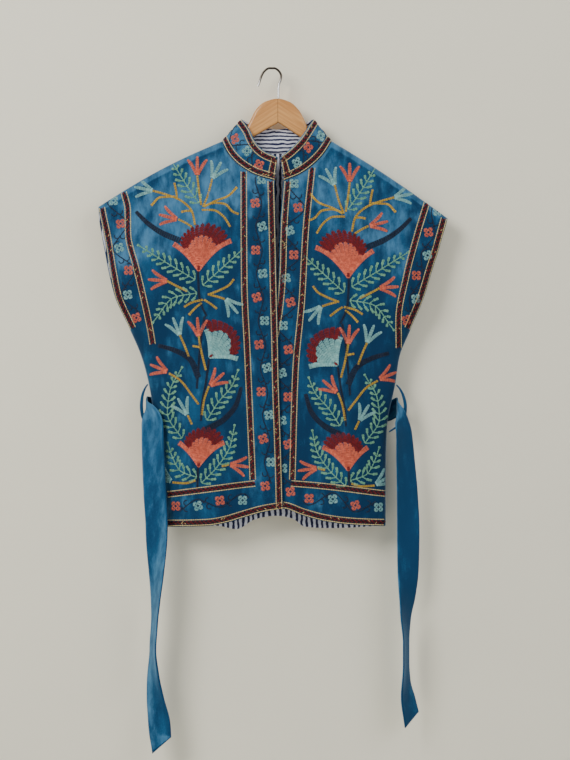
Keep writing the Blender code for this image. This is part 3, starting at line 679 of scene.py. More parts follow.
# %% Striped cotton
stripes, stripes_in, stripes_out = new_group(
    "hand printed stripes",
    [("Vector", "NodeSocketVector", None), ("Pitch", "NodeSocketFloat", 0.009),
     ("White", "NodeSocketColor", (0.7, 0.72, 0.8, 1.0)),
     ("Navy", "NodeSocketColor", (0.01, 0.013, 0.06, 1.0))],
    [("Colour", "NodeSocketColor"), ("Height", "NodeSocketFloat")],
)
split = stripes.nodes.new("ShaderNodeSeparateXYZ")
stripes.links.new(stripes_in.outputs["Vector"], split.inputs["Vector"])
wander = noise_node(stripes, stripes_in.outputs["Vector"], 60.0, 3.0)
across = math_node(stripes, "DIVIDE", split.outputs["X"], stripes_in.outputs["Pitch"])
across = math_node(stripes, "ADD", across, math_node(stripes, "MULTIPLY", wander, 0.8))
wave = math_node(stripes, "PINGPONG", across, 0.5)
printed = steps_between(stripes, wave, 0.21, 0.27)
threads = noise_node(stripes, stripes_in.outputs["Vector"], 1400.0, 1.0)
tone = mix_colours(stripes, printed, stripes_in.outputs["Navy"], stripes_in.outputs["White"])
stripes.links.new(tone, stripes_out.inputs["Colour"])
stripes.links.new(threads, stripes_out.inputs["Height"])


def striped_cotton(name, turned, pitch):
    material, tree, shader = principled(name, 0.9)
    shader.inputs["Sheen Weight"].default_value = 0.1
    place = tree.nodes.new("ShaderNodeTexCoord")
    turn = tree.nodes.new("ShaderNodeMapping")
    turn.inputs["Rotation"].default_value = (0.0, 0.0, radians(turned))
    tree.links.new(place.outputs["UV"], turn.inputs["Vector"])
    node = place_group(tree, stripes, turn.outputs["Vector"], Pitch=pitch)
    tree.links.new(node.outputs["Colour"], shader.inputs["Base Color"])
    bump_from(tree, shader, node.outputs["Height"], 0.0003, 0.4)
    return material


lining_down = striped_cotton("striped lining", 0.0, 0.0088)
lining_round = striped_cotton("striped collar lining", 90.0, 0.0066)
print("finishes:", [material.name for material in bpy.data.materials if material.users == 0][:6])

# %% [markdown]
# ## Velvet and lining, cut and hung
# A piece of cloth is one grid of points with its outward directions. Its wall goes from the face to the
# wrong side, and the cut edges are turned in, so each rim is drawn in a little and rounds over. The wrong
# side of a front is the lining's stripes.

# %% A wall of cloth
RIM_DRAW = 0.55          # how far a turned edge rounds inwards, in millimetres


def in_order(half):
    """A half panel with its columns from the centre outwards."""
    return half[0][:, ::-1], half[1][:, ::-1]


def cloth_wall(name, grids, start, end, face_material, wrong_side=None, pattern=None):
    """A closed wall between two depths below a face; pattern gives each grid's place on the cloth."""
    places, outs, flat, index_of, quads = [], [], [], {}, []
    for number, (points, normals) in enumerate(grids):
        rows, columns = points.shape[:2]
        laid = points[:, :, [0, 2]] if pattern is None else pattern[number]
        index = np.empty((rows, columns), int)
        for row in range(rows):
            for column in range(columns):
                key = tuple(np.round(points[row, column], 4))
                if key not in index_of:
                    index_of[key] = len(places)
                    places.append(points[row, column])
                    outs.append(np.zeros(3))
                    flat.append(laid[row, column])
                index[row, column] = index_of[key]
                outs[index_of[key]] = outs[index_of[key]] + normals[row, column]
        a, b = index[:-1, :-1].ravel(), index[:-1, 1:].ravel()
        c, d = index[1:, 1:].ravel(), index[1:, :-1].ravel()
        quads += list(zip(a.tolist(), b.tolist(), c.tolist(), d.tolist()))
    places, outs, flat = np.array(places), np.array(outs), np.array(flat) * MM
    outs /= np.linalg.norm(outs, axis=1, keepdims=True)
    a, b, _, d = quads[len(quads) // 2]
    if np.cross(places[b] - places[a], places[d] - places[a]) @ outs[a] < 0:
        quads = [quad[::-1] for quad in quads]
    used = {(p, q) for quad in quads for p, q in zip(quad, quad[1:] + quad[:1])}
    rim = sorted(edge for edge in used if edge[::-1] not in used)
    away = np.zeros_like(places)
    for p, q in rim:
        side = np.cross(places[q] - places[p], outs[p] + outs[q])
        side /= max(np.linalg.norm(side), 1e-9)
        away[p] += side
        away[q] += side
    rim_points = sorted({p for edge in rim for p in edge})
    away[rim_points] /= np.maximum(np.linalg.norm(away[rim_points], axis=1, keepdims=True), 1e-9)
    count = len(places)
    middle_of = {p: 2 * count + number for number, p in enumerate(rim_points)}
    draw = min(RIM_DRAW, 0.4 * (end - start))
    middles = places[rim_points] - outs[rim_points] * (start + end) / 2
    vertices = np.concatenate(
        [places - outs * start - away * draw, places - outs * end - away * draw, middles])
    faces = quads + [tuple(count + corner for corner in quad[::-1]) for quad in quads]
    faces += [(q, p, middle_of[p], middle_of[q]) for p, q in rim]
    faces += [(middle_of[q], middle_of[p], count + p, count + q) for p, q in rim]
    mesh = bpy.data.meshes.new(name)
    mesh.from_pydata((vertices * MM).tolist(), [], faces)
    mesh.materials.append(face_material)
    if wrong_side is not None:
        mesh.materials.append(wrong_side)
        sides = np.zeros(len(faces), np.int32)
        sides[len(quads):2 * len(quads)] = 1
        mesh.polygons.foreach_set("material_index", sides)
    on_cloth = np.concatenate([flat, flat, flat[rim_points]])
    corners = np.empty(len(mesh.loops), np.int32)
    mesh.loops.foreach_get("vertex_index", corners)
    mesh.uv_layers.new(name="cloth").data.foreach_set("uv", on_cloth[corners].astype(np.float32).ravel())
    mesh.polygons.foreach_set("use_smooth", np.ones(len(faces), bool))
    mesh.update()
    piece = bpy.data.objects.new(name, mesh)
    bpy.context.scene.collection.objects.link(piece)
    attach(piece, "root")
    print(name, "faces:", len(faces))
    return piece


def area_of(grids):
    """The area of a face, in square metres."""
    total = 0.0
    for points, _ in grids:
        across = np.diff(points, axis=1)[:-1]
        up = np.diff(points, axis=0)[:, :-1]
        total += np.linalg.norm(np.cross(across, up), axis=2).sum()
    return total * MM * MM


# %% The body: two fronts, a back and its lining
FRONT_SEED = 3.7
BACK_SEED = 11.2
front_right = half_panel(edges_of(RIGHT_FRONT), FRONT_HEM, FRONT_FOLDS, FRONT_CREASES, FRONT_SHAPE, -1,
                         FRONT_SEED, LAP_LIFT)
front_left = half_panel(edges_of(LEFT_FRONT), FRONT_HEM, FRONT_FOLDS, FRONT_CREASES, FRONT_SHAPE, -1,
                        FRONT_SEED, -LAP_LIFT)
back_right = half_panel(back_edges_of(RIGHT_FRONT, -BACK_CAP_REACH), BACK_HEM, BACK_FOLDS, BACK_CREASES,
                        BACK_SHAPE, 1, BACK_SEED)
back_left = half_panel(back_edges_of(LEFT_FRONT, 0.0), BACK_HEM, BACK_FOLDS, BACK_CREASES, BACK_SHAPE, 1,
                       BACK_SEED)
whole_back = [back_right, in_order(back_left)]
UNDER = VELVET + LINING_GAP
cloth = {}
for name, grid in (("front_right", front_right), ("front_left", front_left)):
    cloth[name] = cloth_wall("velvet_" + name, [grid], 0.0, VELVET, garment_velvet, lining_down)
cloth["back"] = cloth_wall("velvet_back", whole_back, 0.0, VELVET, garment_velvet)
for name, piece in cloth.items():
    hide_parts(name)
lining = cloth_wall("striped_back_lining", whole_back, UNDER, UNDER + COTTON, lining_down)
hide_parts("back_lining")


def reach_of(grids):
    """How wide and how tall the pieces are, laid flat on the wall."""
    places = np.concatenate([points.reshape(-1, 3) for points, _ in grids])
    return [round(float(value)) for value in np.ptp(places, axis=0)[[0, 2]]]


for name, grids in (("right front", [front_right]), ("left front", [front_left]), ("back", whole_back)):
    print(name, "area:", round(area_of(grids), 3), "width and height:", reach_of(grids))

# %% [markdown]
# ## The stand collar
# The collar is a bent strip on the neckline. Its two velvet halves meet in a seam at centre back, and one
# strip of striped cotton lines both.

# %% Collar
def along_cloth(points):
    """Each point's place on the flat cloth: how far up it is, then how far along."""
    steps = np.linalg.norm(np.diff(points, axis=1), axis=2).mean(axis=0)
    rises = np.linalg.norm(np.diff(points, axis=0), axis=2)
    along = np.concatenate([[0.0], np.cumsum(steps)])
    up = np.concatenate([np.zeros((1, points.shape[1])), np.cumsum(rises, axis=0)])
    return np.stack([np.broadcast_to(along, up.shape), up], axis=2)


def collar_half(front, back_half, top_rows, centre_shift):
    """A collar half's outer face: it stands on the neckline of a front and of the back."""
    at = stations()
    on_neck = np.flatnonzero(at >= NECK_BASE)
    along_front = at[on_neck] - NECK_BASE
    bottom = front[0][on_neck, -1]
    bottom_out = front[1][on_neck, -1]
    back_bottom = back_half[0][on_neck[::-1], -1]
    back_out = back_half[1][on_neck[::-1], -1]
    neck_point = (bottom[-1] + back_bottom[0]) / 2
    neck_out = bottom_out[-1] + back_out[0]
    foot = np.concatenate([bottom[:-1], [neck_point], back_bottom[1:]])
    foot_out = np.concatenate([bottom_out[:-1], [neck_out], back_out[1:]])
    foot_out /= np.linalg.norm(foot_out, axis=1, keepdims=True)
    along_back = 2 * (SHOULDER - NECK_BASE) - along_front[::-1]
    along = np.concatenate([along_front, along_back[1:]])
    table = np.array(top_rows)
    top = np.stack([smooth_through(table[:, 0], table[:, k], along) for k in (1, 2, 3)], axis=1)
    rise = top - foot
    rise /= np.linalg.norm(rise, axis=1, keepdims=True)
    foot = foot + rise * COLLAR_SEAM_GAP
    up = np.linspace(0.0, 1.0, COLLAR_ROWS + 1)[:, None, None]
    points = foot + (top - foot) * up
    points[:, -1, 0] += centre_shift
    along_rows = np.gradient(points, axis=1)
    along_columns = np.gradient(points, axis=0)
    normals = np.cross(along_columns, along_rows)
    if normals[0, 1, 1] > 0:
        normals = -normals
    normals /= np.linalg.norm(normals, axis=2, keepdims=True)
    normals[0] = foot_out
    return points, normals


right_half = collar_half(front_right, back_right, COLLAR_RIGHT_TOP, -HALF_SEAM)
left_half = collar_half(front_left, back_left, COLLAR_LEFT_TOP, HALF_SEAM)
for name, half in (("collar_right", right_half), ("collar_left", in_order(left_half))):
    flat_places = along_cloth(half[0])
    cloth[name] = cloth_wall("velvet_" + name, [half], 0.0, VELVET, garment_velvet, None, [flat_places])
    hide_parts(name)
    print(name, "length and height:", flat_places.max(axis=(0, 1)).round(1))
ring = [np.concatenate([r[:, :-1], (r[:, -1:] + l[:, -1:]) / 2, l[:, -2::-1]], axis=1)
        for r, l in zip(right_half, left_half)]
ring[1] /= np.linalg.norm(ring[1], axis=2, keepdims=True)
piece = cloth_wall("striped_collar_lining", [ring], UNDER, UNDER + COTTON, lining_round, None,
                   [along_cloth(ring[0])])
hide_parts("collar_lining")
print("collar areas:", [round(area_of([half]), 4) for half in (right_half, left_half, ring)])

# %% [markdown]
# ## The tie belt
# The belt is one long tube of velvet, pressed flat and seamed along one edge, so it is about as thick as two
# walls of cloth with soft edges. It passes behind the back, through a loop on each side seam, and its ends
# hang free and turn as they hang. A strip of points along its middle is enough to hang it, with the belt's
# width set across each point.

# %% Belt
# The belt, as sections down each hanging end: the middle of the section, its width, the turn of its face
# about the vertical (0 faces the front), and its tilt from level (90 stands the width upright).
BELT_THICK = 2.6
BELT_RIGHT_END = [
    #   x       y        z     width  turn  tilt
    (-207.5,  14.0,  -560.0,  34.0, -22.0,  90.0),
    (-207.8,   6.0,  -560.0,  26.0, -22.0,  90.0),
    (-208.0,  -1.0,  -560.5,  20.0, -22.0,  88.0),
    (-207.0, -10.0,  -562.0,  20.0, -22.0,  70.0),
    (-203.0, -18.0,  -567.0,  26.0, -22.0,  42.0),
    (-198.5, -23.0,  -577.0,  35.0, -21.0,  16.0),
    (-196.5, -24.5,  -592.0,  39.5, -20.0,   3.0),
    (-195.5, -26.0,  -632.0,  40.0, -19.0,   0.0),
    (-192.5, -27.0,  -700.0,  40.0, -17.0,   0.0),
    (-189.5, -27.0,  -765.0,  40.0, -22.0,   0.0),
    (-190.0, -26.0,  -830.0,  40.0, -48.0,   0.0),
    (-191.5, -25.0,  -880.0,  40.0, -66.0,   0.0),
    (-193.5, -24.0,  -920.0,  40.0, -73.0,   1.0),
    (-196.0, -23.0,  -960.0,  40.0, -73.0,   2.0),
    (-195.5, -22.0, -1000.0,  40.0, -60.0,   3.0),
    (-192.0, -21.0, -1040.0,  40.0, -42.0,   2.0),
    (-186.0, -20.0, -1078.0,  40.0, -20.0,   0.0),
    (-184.0, -20.0, -1102.0,  38.0, -12.0,  -2.0),
]
BELT_RIGHT_TIP = (-197.0, -18.0, -1133.0)
BELT_LEFT_END = [
    (208.5,   14.0,  -562.0,  34.0,  40.0,  90.0),
    (209.0,    6.0,  -562.0,  26.0,  42.0,  90.0),
    (209.5,   -1.0,  -562.5,  20.0,  44.0,  88.0),
    (210.0,   -9.0,  -565.0,  20.0,  46.0,  72.0),
    (211.5,  -15.0,  -571.0,  24.0,  44.0,  44.0),
    (214.5,  -18.0,  -583.0,  31.0,  44.0,  16.0),
    (218.5,  -17.5,  -602.0,  37.0,  44.0,   3.0),
    (221.5,  -14.0,  -650.0,  40.0,  38.0,   0.0),
    (224.5,  -13.0,  -705.0,  40.0,  27.0,   0.0),
    (226.0,  -12.0,  -765.0,  40.0,  18.0,   0.0),
    (225.8,  -12.0,  -830.0,  40.0,  26.0,   0.0),
    (224.5,  -12.0,  -875.0,  40.0,  46.0,   0.0),
    (222.0,  -12.0,  -912.0,  40.0,  64.0,   0.0),
    (222.5,  -12.0,  -950.0,  40.0,  74.0,   0.0),
    (222.5,  -12.0,  -985.0,  40.0,  74.0,   0.0),
    (222.5,  -12.0, -1015.0,  40.0,  68.0,   0.0),
    (226.0,  -12.0, -1045.0,  40.0,  52.0,   1.0),
    (230.0,  -12.0, -1066.0,  39.0,  46.0,   2.0),
]
BELT_LEFT_TIP = (220.0, -22.0, -1090.0)
BELT_BACK = [
    #   x       y        z
    (-207.4,  15.6,  -560.0),
    (-205.0,  21.0,  -560.5),
    (-195.0,  25.5,  -562.0),
    (-120.0,  27.5,  -566.0),
    (0.0,     28.0,  -570.0),
    (120.0,   27.5,  -570.0),
    (195.0,   25.5,  -568.0),
    (206.0,   21.0,  -563.0),
    (208.4,   15.6,  -562.0),
]
BELT_BACK_WIDTH = 34.0

# Belt loops: narrow strips that stand out from the side seams.
LOOP_WIDE = 7.0
LOOP_THICK = 2.0         # thickness where a loop is sewn in
LOOP_SWELL = 3.4         # how much thicker it is at its middle, all on its outer side
LOOP_RIGHT = [(-205.8, -523.0), (-209.8, -530.0), (-213.4, -542.0), (-214.6, -558.0), (-213.2, -574.0),
              (-208.0, -587.0), (-196.6, -598.0)]
LOOP_LEFT = [(206.8, -524.0), (211.6, -530.0), (217.0, -542.0), (220.0, -558.0), (218.8, -575.0),
             (210.0, -590.0), (194.8, -602.0)]
BELT_ROWS = 150
BELT_COLUMNS = 12
BELT_CUP = 1.5           # how far the middle of the belt swells between its edges, in millimetres
TIP_REST = 2.0           # length left on the short side of the cut end


def belt_grid(sections, tip, steps):
    """Rows of points across a belt, from a table of middles, widths, turns and tilts."""
    table = np.array(sections)
    knots = np.concatenate([[0.0], np.cumsum(np.linalg.norm(np.diff(table[:, :3], axis=0), axis=1))])
    at = np.linspace(0.0, knots[-1], steps)
    x, y, z, width, turn, tilt = (smooth_through(knots, table[:, k], at) for k in range(6))
    turn, tilt = np.radians(turn), np.radians(tilt)
    side = np.stack([np.cos(turn) * np.cos(tilt), np.sin(turn) * np.cos(tilt), np.sin(tilt)], axis=1)
    middle = np.stack([x, y, z], axis=1)
    out = np.cross(side, np.gradient(middle, axis=0))
    out /= np.linalg.norm(out, axis=1, keepdims=True)
    across = np.linspace(-1.0, 1.0, BELT_COLUMNS + 1)
    reach = (width / 2)[:, None] * across
    swell = BELT_CUP * (1 - across ** 2) * ease((at / 60.0))[:, None]
    points = middle[:, None] + side[:, None] * reach[:, :, None] + out[:, None] * swell[:, :, None]
    if tip is not None:
        short = points[-1, -1] + np.array([0.0, 0.0, -TIP_REST])
        last = np.array(tip) + (short - np.array(tip)) * np.linspace(0.0, 1.0, BELT_COLUMNS + 1)[:, None]
        cut = np.linspace(0.0, 1.0, 7)[1:, None, None]
        points = np.concatenate([points, points[-1] + (last - points[-1]) * cut])
    along_rows = np.gradient(points, axis=1)
    along_belt = np.gradient(points, axis=0)
    normals = np.cross(along_rows, along_belt)
    return points, normals / np.linalg.norm(normals, axis=2, keepdims=True)


def lay_belt(name, grid):
    place = along_cloth(grid[0])
    piece = cloth_wall("velvet_" + name, [grid], -BELT_THICK / 2, BELT_THICK / 2, belt_velvet_painted_lighter, None, [place])
    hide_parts(name)
    print(name, "area:", round(area_of([grid]), 4), "length:", round(place[:, :, 1].max() * MM, 3))


back_run = [(x, y, z, BELT_BACK_WIDTH, 0.0, 90.0) for x, y, z in BELT_BACK]
lay_belt("belt_right_end", belt_grid(BELT_RIGHT_END, BELT_RIGHT_TIP, BELT_ROWS))
lay_belt("belt_left_end", belt_grid(BELT_LEFT_END, BELT_LEFT_TIP, BELT_ROWS))
lay_belt("belt_back", belt_grid(back_run, None, 90))

# %% [markdown]
# The belt loops are narrow strips of the same velvet, folded and sewn into the side seams, which stand out
# in a soft arc. Each one is an outline bent along its route and given a rounded edge.

# %% Belt loops
LOOP_POINTS = 26
LOOP_EDGE = 0.55         # roundness of a loop's edges, in millimetres


def flat_outline(name, outline, half_depth, edge, steps, material):
    """A piece cut to an outline in the plane of the hanger, with rounded edges."""
    curve = bpy.data.curves.new(name, "CURVE")
    curve.dimensions = "2D"
    curve.fill_mode = "BOTH"
    curve.extrude = (half_depth - edge) * MM
    curve.bevel_depth = edge * MM
    curve.bevel_resolution = steps
    curve.offset = -edge * MM
    spline = curve.splines.new("POLY")
    spline.points.add(len(outline) - 1)
    for point, (x, z) in zip(spline.points, outline):
        point.co = (x * MM, z * MM, 0.0, 1.0)
    spline.use_cyclic_u = True
    piece = bpy.data.objects.new(name, curve)
    piece.rotation_euler = (pi / 2, 0.0, 0.0)
    curve.materials.append(material)
    bpy.context.scene.collection.objects.link(piece)
    return as_mesh(piece)


def as_mesh(piece):
    """A curve turned into a mesh, smooth, at the origin and unturned."""
    bpy.ops.object.select_all(action="DESELECT")
    piece.select_set(True)
    bpy.context.view_layer.objects.active = piece
    bpy.ops.object.convert(target="MESH")
    bpy.ops.object.transform_apply(location=True, rotation=True, scale=True)
    bpy.ops.object.shade_smooth()
    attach(piece, "root")
    return piece


def smooth_route(route, count):
    route = np.array(route)
    knots = np.concatenate([[0.0], np.cumsum(np.hypot(*np.diff(route, axis=0).T))])
    at = np.linspace(0.0, knots[-1], count)
    return np.stack([smooth_through(knots, route[:, 0], at), smooth_through(knots, route[:, 1], at)], axis=1)


for name, route in (("belt_loop_right", LOOP_RIGHT), ("belt_loop_left", LOOP_LEFT)):
    line = smooth_route(route, LOOP_POINTS)
    run = np.gradient(line, axis=0)
    side = np.stack([-run[:, 1], run[:, 0]], axis=1) / np.linalg.norm(run, axis=1, keepdims=True)
    outward = 1.0 if line[0, 0] > 0 else -1.0
    swell = (LOOP_SWELL * np.sin(np.linspace(0.0, pi, LOOP_POINTS)))[:, None]
    half = LOOP_THICK / 2
    first = line + side * (half + (swell if outward > 0 else 0.0))
    second = line - side * (half + (swell if outward < 0 else 0.0))
    outline = np.concatenate([first, second[::-1]])
    piece = flat_outline("velvet_" + name, outline, LOOP_WIDE / 2, LOOP_EDGE, 2, belt_velvet_painted_lighter)
    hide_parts(name)
    print(piece.name, "faces:", len(piece.data.polygons))

# %% [markdown]
# ## The hanger
# The hanger is two arms sawn from a pale close-grained board, joined at the middle, rounded on their edges
# and varnished, so the wood is satin with faint long grain. The hook is drawn steel wire screwed into the
# top, and its colour turns dark towards its crown.

# %% Wood and steel
# The hanger, in millimetres.
HANGER_THICK = 12.0
HANGER_EDGE_ROUND = 4.5
HANGER_TOP = [(-203.0, -193.0), (-171.0, -176.5), (-125.0, -152.5), (-83.0, -133.0), (-58.0, -117.0),
              (-44.0, -101.0), (-36.0, -86.0), (-26.0, -67.0), (-11.0, -54.0), (10.0, -49.0), (30.0, -54.5),
              (45.0, -68.0), (55.0, -86.0), (62.0, -103.0), (76.0, -119.0), (100.0, -135.0), (140.0, -157.0),
              (181.0, -182.0), (215.0, -206.0)]
HANGER_UNDER = [(217.0, -222.0), (205.0, -222.0), (170.0, -199.0), (120.0, -166.0), (70.0, -128.0),
                (11.0, -89.0), (-50.0, -124.0), (-110.0, -163.0), (-160.0, -189.0), (-193.0, -206.0),
                (-205.0, -206.0)]
HOOK_WIRE = 3.8
HOOK_ROUTE = [(-23.0, -28.5), (-20.5, -22.0), (-17.6, -13.0), (-12.5, -4.0), (-4.0, 1.4), (4.0, 1.4),
              (12.0, -3.5), (15.6, -11.5), (14.6, -18.5), (11.8, -26.0), (11.0, -36.0), (11.0, -48.6)]
HANGER_MIDDLE = 0.010    # where the two arms are joined, in metres
DARK_CROWN_HEIGHTS = (-0.034, -0.012)  # height over which the hook's wire turns dark
ARM_SLOPE = 0.62         # how steeply the grain runs down each arm


def hanger_wood_finish():
    material, tree, shader = principled("varnished pale wood", 0.42)
    shader.inputs["Coat Weight"].default_value = 0.35
    shader.inputs["Coat Roughness"].default_value = 0.22
    place = tree.nodes.new("ShaderNodeTexCoord")
    parts = tree.nodes.new("ShaderNodeSeparateXYZ")
    tree.links.new(place.outputs["Object"], parts.inputs["Vector"])
    from_middle = math_node(tree, "ABSOLUTE", math_node(tree, "SUBTRACT", parts.outputs["X"], HANGER_MIDDLE))
    down_arm = math_node(tree, "ADD", parts.outputs["Z"], math_node(tree, "MULTIPLY", from_middle, ARM_SLOPE))
    arms = tree.nodes.new("ShaderNodeCombineXYZ")
    for label, value in (("X", parts.outputs["X"]), ("Y", parts.outputs["Y"]), ("Z", down_arm)):
        tree.links.new(value, arms.inputs[label])
    grain = noise_node(tree, stretched(tree, arms.outputs["Vector"], (14.0, 60.0, 210.0)), 1.0, 6.0, 0.65)
    fine = noise_node(tree, stretched(tree, arms.outputs["Vector"], (60.0, 900.0, 1700.0)), 1.0, 2.0)
    shade = math_node(tree, "ADD", steps_between(tree, grain, 0.35, 0.68),
                      math_node(tree, "MULTIPLY", math_node(tree, "SUBTRACT", fine, 0.5), 0.5))
    tone = mix_colours(tree, shade, (0.51, 0.21, 0.048, 1.0), (0.68, 0.33, 0.092, 1.0))
    joint = steps_between(tree, from_middle, 0.0002, 0.0006)
    tone = mix_colours(tree, joint, (0.20, 0.085, 0.025, 1.0), tone)
    tree.links.new(tone, shader.inputs["Base Color"])
    bump_from(tree, shader, fine, 0.0002, 0.3)
    return material


def wire_finish():
    material, tree, shader = principled("drawn steel wire", 0.28)
    shader.inputs["Metallic"].default_value = 1.0
    place = tree.nodes.new("ShaderNodeTexCoord")
    drawn = noise_node(tree, place.outputs["Object"], 260.0, 3.0)
    tone = mix_colours(tree, drawn, (0.52, 0.52, 0.52, 1.0), (0.72, 0.71, 0.69, 1.0))
    parts = tree.nodes.new("ShaderNodeSeparateXYZ")
    tree.links.new(place.outputs["Object"], parts.inputs["Vector"])
    tone = mix_colours(
        tree, steps_between(tree, parts.outputs["Z"], *DARK_CROWN_HEIGHTS), tone, (0.075, 0.062, 0.052, 1.0))
    tree.links.new(tone, shader.inputs["Base Color"])
    return material


# %% Hanger and hook
hanger_outline = np.concatenate([smooth_route(HANGER_TOP, 120), np.array(HANGER_UNDER)])
hanger = flat_outline("varnished_hanger", hanger_outline, HANGER_THICK / 2, HANGER_EDGE_ROUND, 5,
                      hanger_wood_finish())
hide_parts("hanger_wood")
wire = bpy.data.curves.new("steel_hook", "CURVE")
wire.dimensions = "3D"
wire.bevel_depth = HOOK_WIRE / 2 * MM
wire.bevel_resolution = 6
wire.use_fill_caps = True
wire_line = smooth_route(HOOK_ROUTE, 120)
spline = wire.splines.new("POLY")
spline.points.add(len(wire_line) - 1)
for point, (x, z) in zip(spline.points, wire_line):
    point.co = (x * MM, 0.0, z * MM, 1.0)
hook = bpy.data.objects.new("steel_hook", wire)
wire.materials.append(wire_finish())
bpy.context.scene.collection.objects.link(hook)
as_mesh(hook)
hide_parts("hanger_hook")
print("hanger faces:", len(hanger.data.polygons), "hook faces:", len(hook.data.polygons))

# %% [markdown]
# ## Embroidery
# All the ornament is worked with a hook in chain stitch: rows of little loops, each coming out of the one
# before. Flowers and petals are filled with rows side by side. Each loop is two strands, bowed apart and
# closed at both ends. The loops of one colour on one panel are joined in one mesh made from arrays, and they
# follow the velvet's folds, because every row is dropped onto the panel's face from the front or the back.

# %% Threads
STITCH = 3.8             # length of one loop, in millimetres
ROW = 2.3                # distance between rows that lie side by side
STRAND = 0.5             # half the thickness of a strand
LIE = 0.35               # how far the strands' middles lie above the velvet
CASTING = 1.0            # distance in metres from which a row is dropped onto the cloth


def thread(name, colour, deeper, sheen=0.12):
    material, tree, shader = principled(name, 0.62)
    shader.inputs["Sheen Weight"].default_value = sheen
    shader.inputs["Sheen Roughness"].default_value = 0.4
    place = tree.nodes.new("ShaderNodeTexCoord")
    dye = steps_between(tree, noise_node(tree, place.outputs["Object"], 240.0, 3.0), 0.35, 0.7)
    tree.links.new(mix_colours(tree, dye, deeper, colour), shader.inputs["Base Color"])
    bump_from(tree, shader, noise_node(tree, place.outputs["Object"], 2600.0, 2.0), 0.0002, 0.5)
    return material


THREADS = {
    "coral": thread("coral thread", (0.88, 0.205, 0.105, 1.0), (0.62, 0.105, 0.050, 1.0)),
    "aqua": thread("aqua thread", (0.33, 0.62, 0.59, 1.0), (0.19, 0.45, 0.45, 1.0)),
    "mint": thread("mint thread", (0.27, 0.60, 0.37, 1.0), (0.16, 0.42, 0.26, 1.0)),
    "mustard": thread("mustard thread", (0.70, 0.46, 0.045, 1.0), (0.50, 0.30, 0.022, 1.0), 0.05),
    "navy": thread("navy thread", (0.006, 0.020, 0.058, 1.0), (0.003, 0.010, 0.032, 1.0), 0.0),
    "maroon": thread("maroon thread", (0.27, 0.007, 0.012, 1.0), (0.16, 0.004, 0.008, 1.0), 0.0),
    "cream": thread("cream thread", (0.80, 0.66, 0.30, 1.0), (0.62, 0.47, 0.17, 1.0), 0.05),
    "dark": thread("dark thread", (0.016, 0.007, 0.012, 1.0), (0.008, 0.003, 0.007, 1.0), 0.0),
}


# %% Rows dropped onto the cloth
def face_tree(grids):
    """The face of a panel, ready for rows to be dropped onto it."""
    corners, quads = [], []
    for points, _ in grids:
        rows, columns = points.shape[:2]
        index = np.arange(rows * columns).reshape(rows, columns) + len(corners)
        corners += (points.reshape(-1, 3) * MM).tolist()
        squares = np.stack([index[:-1, :-1], index[:-1, 1:], index[1:, 1:], index[1:, :-1]], axis=2)
        quads += squares.reshape(-1, 4).tolist()
    return BVHTree.FromPolygons(corners, quads)


def dropped_on(grids, facing):
    """A way to lay rows: places (x, z) in millimetres are dropped on the cloth, and None where they miss."""
    tree = face_tree(grids)
    ahead = Vector((0.0, -facing, 0.0))

    def lay(places):
        found = []
        for x, z in places:
            hit, normal, _, _ = tree.ray_cast(Vector((x * MM, facing * CASTING, z * MM)), ahead)
            if hit is None:
                found.append(None)
                continue
            if normal.y * facing < 0:
                normal = -normal
            found.append((np.array(hit) / MM, np.array(normal)))
        return found

    return lay


def laid_along(grid):
    """The same for a bent strip: places are millimetres along it and up from its foot."""
    points, normals = grid
    flat = along_cloth(points)
    rows, columns = points.shape[:2]

    def lay(places):
        found = []
        for along, up in places:
            if not 0.0 <= along <= flat[0, -1, 0]:
                found.append(None)
                continue
            column = np.interp(along, flat[0, :, 0], np.arange(columns))
            low = min(int(column), columns - 2)
            part = column - low
            tall = flat[-1, low, 1] * (1 - part) + flat[-1, low + 1, 1] * part
            row = np.clip(up / tall, 0.0, 1.0) * (rows - 1)
            base = min(int(row), rows - 2)
            rise = row - base
            weights = np.array(
                [[(1 - rise) * (1 - part), (1 - rise) * part], [rise * (1 - part), rise * part]])
            here, out = ((weights[:, :, None] * values[base:base + 2, low:low + 2]).sum(axis=(0, 1))
                         for values in (points, normals))
            found.append((here, out / np.linalg.norm(out)))
        return found

    return lay


def smooth_line(points, spacing):
    """A smooth line through a few points, cut into short equal steps."""
    points = np.array(points, float)
    knots = np.concatenate([[0.0], np.cumsum(np.hypot(*np.diff(points, axis=0).T))])
    count = max(int(round(knots[-1] / spacing)), 1) + 1
    at = np.linspace(0.0, knots[-1], count)
    if len(points) < 3:
        return np.stack([np.interp(at, knots, points[:, k]) for k in (0, 1)], axis=1)
    return np.stack([smooth_through(knots, points[:, k], at) for k in (0, 1)], axis=1)


def beside(line, distance):
    """The same line moved to its left by a distance, or by one distance for each of its points."""
    run = np.gradient(line, axis=0)
    run /= np.maximum(np.hypot(*run.T), 1e-9)[:, None]
    return line + np.stack([-run[:, 1], run[:, 0]], axis=1) * np.reshape(distance, (-1, 1))


def even(line, step):
    """The same line cut into equal steps."""
    line = np.array(line, float)
    knots = np.concatenate([[0.0], np.cumsum(np.hypot(*np.diff(line, axis=0).T))])
    at = np.linspace(0.0, knots[-1], max(int(round(knots[-1] / step)), 1) + 1)
    return np.stack([np.interp(at, knots, line[:, k]) for k in (0, 1)], axis=1)


# %% A loop of chain stitch
SHORTEST = 0.3 * STITCH  # steps shorter or longer than these are gaps in a row
LONGEST = 2.5 * STITCH
OVERLAP = 0.16           # share of a loop that goes on under the next one
STRAND_FACES = [(0, 2, 1), (0, 3, 2), (0, 1, 3), (1, 2, 5), (1, 5, 4), (2, 3, 6), (2, 6, 5), (3, 1, 4),
                (3, 4, 6), (4, 5, 7), (5, 6, 7), (6, 4, 7)]


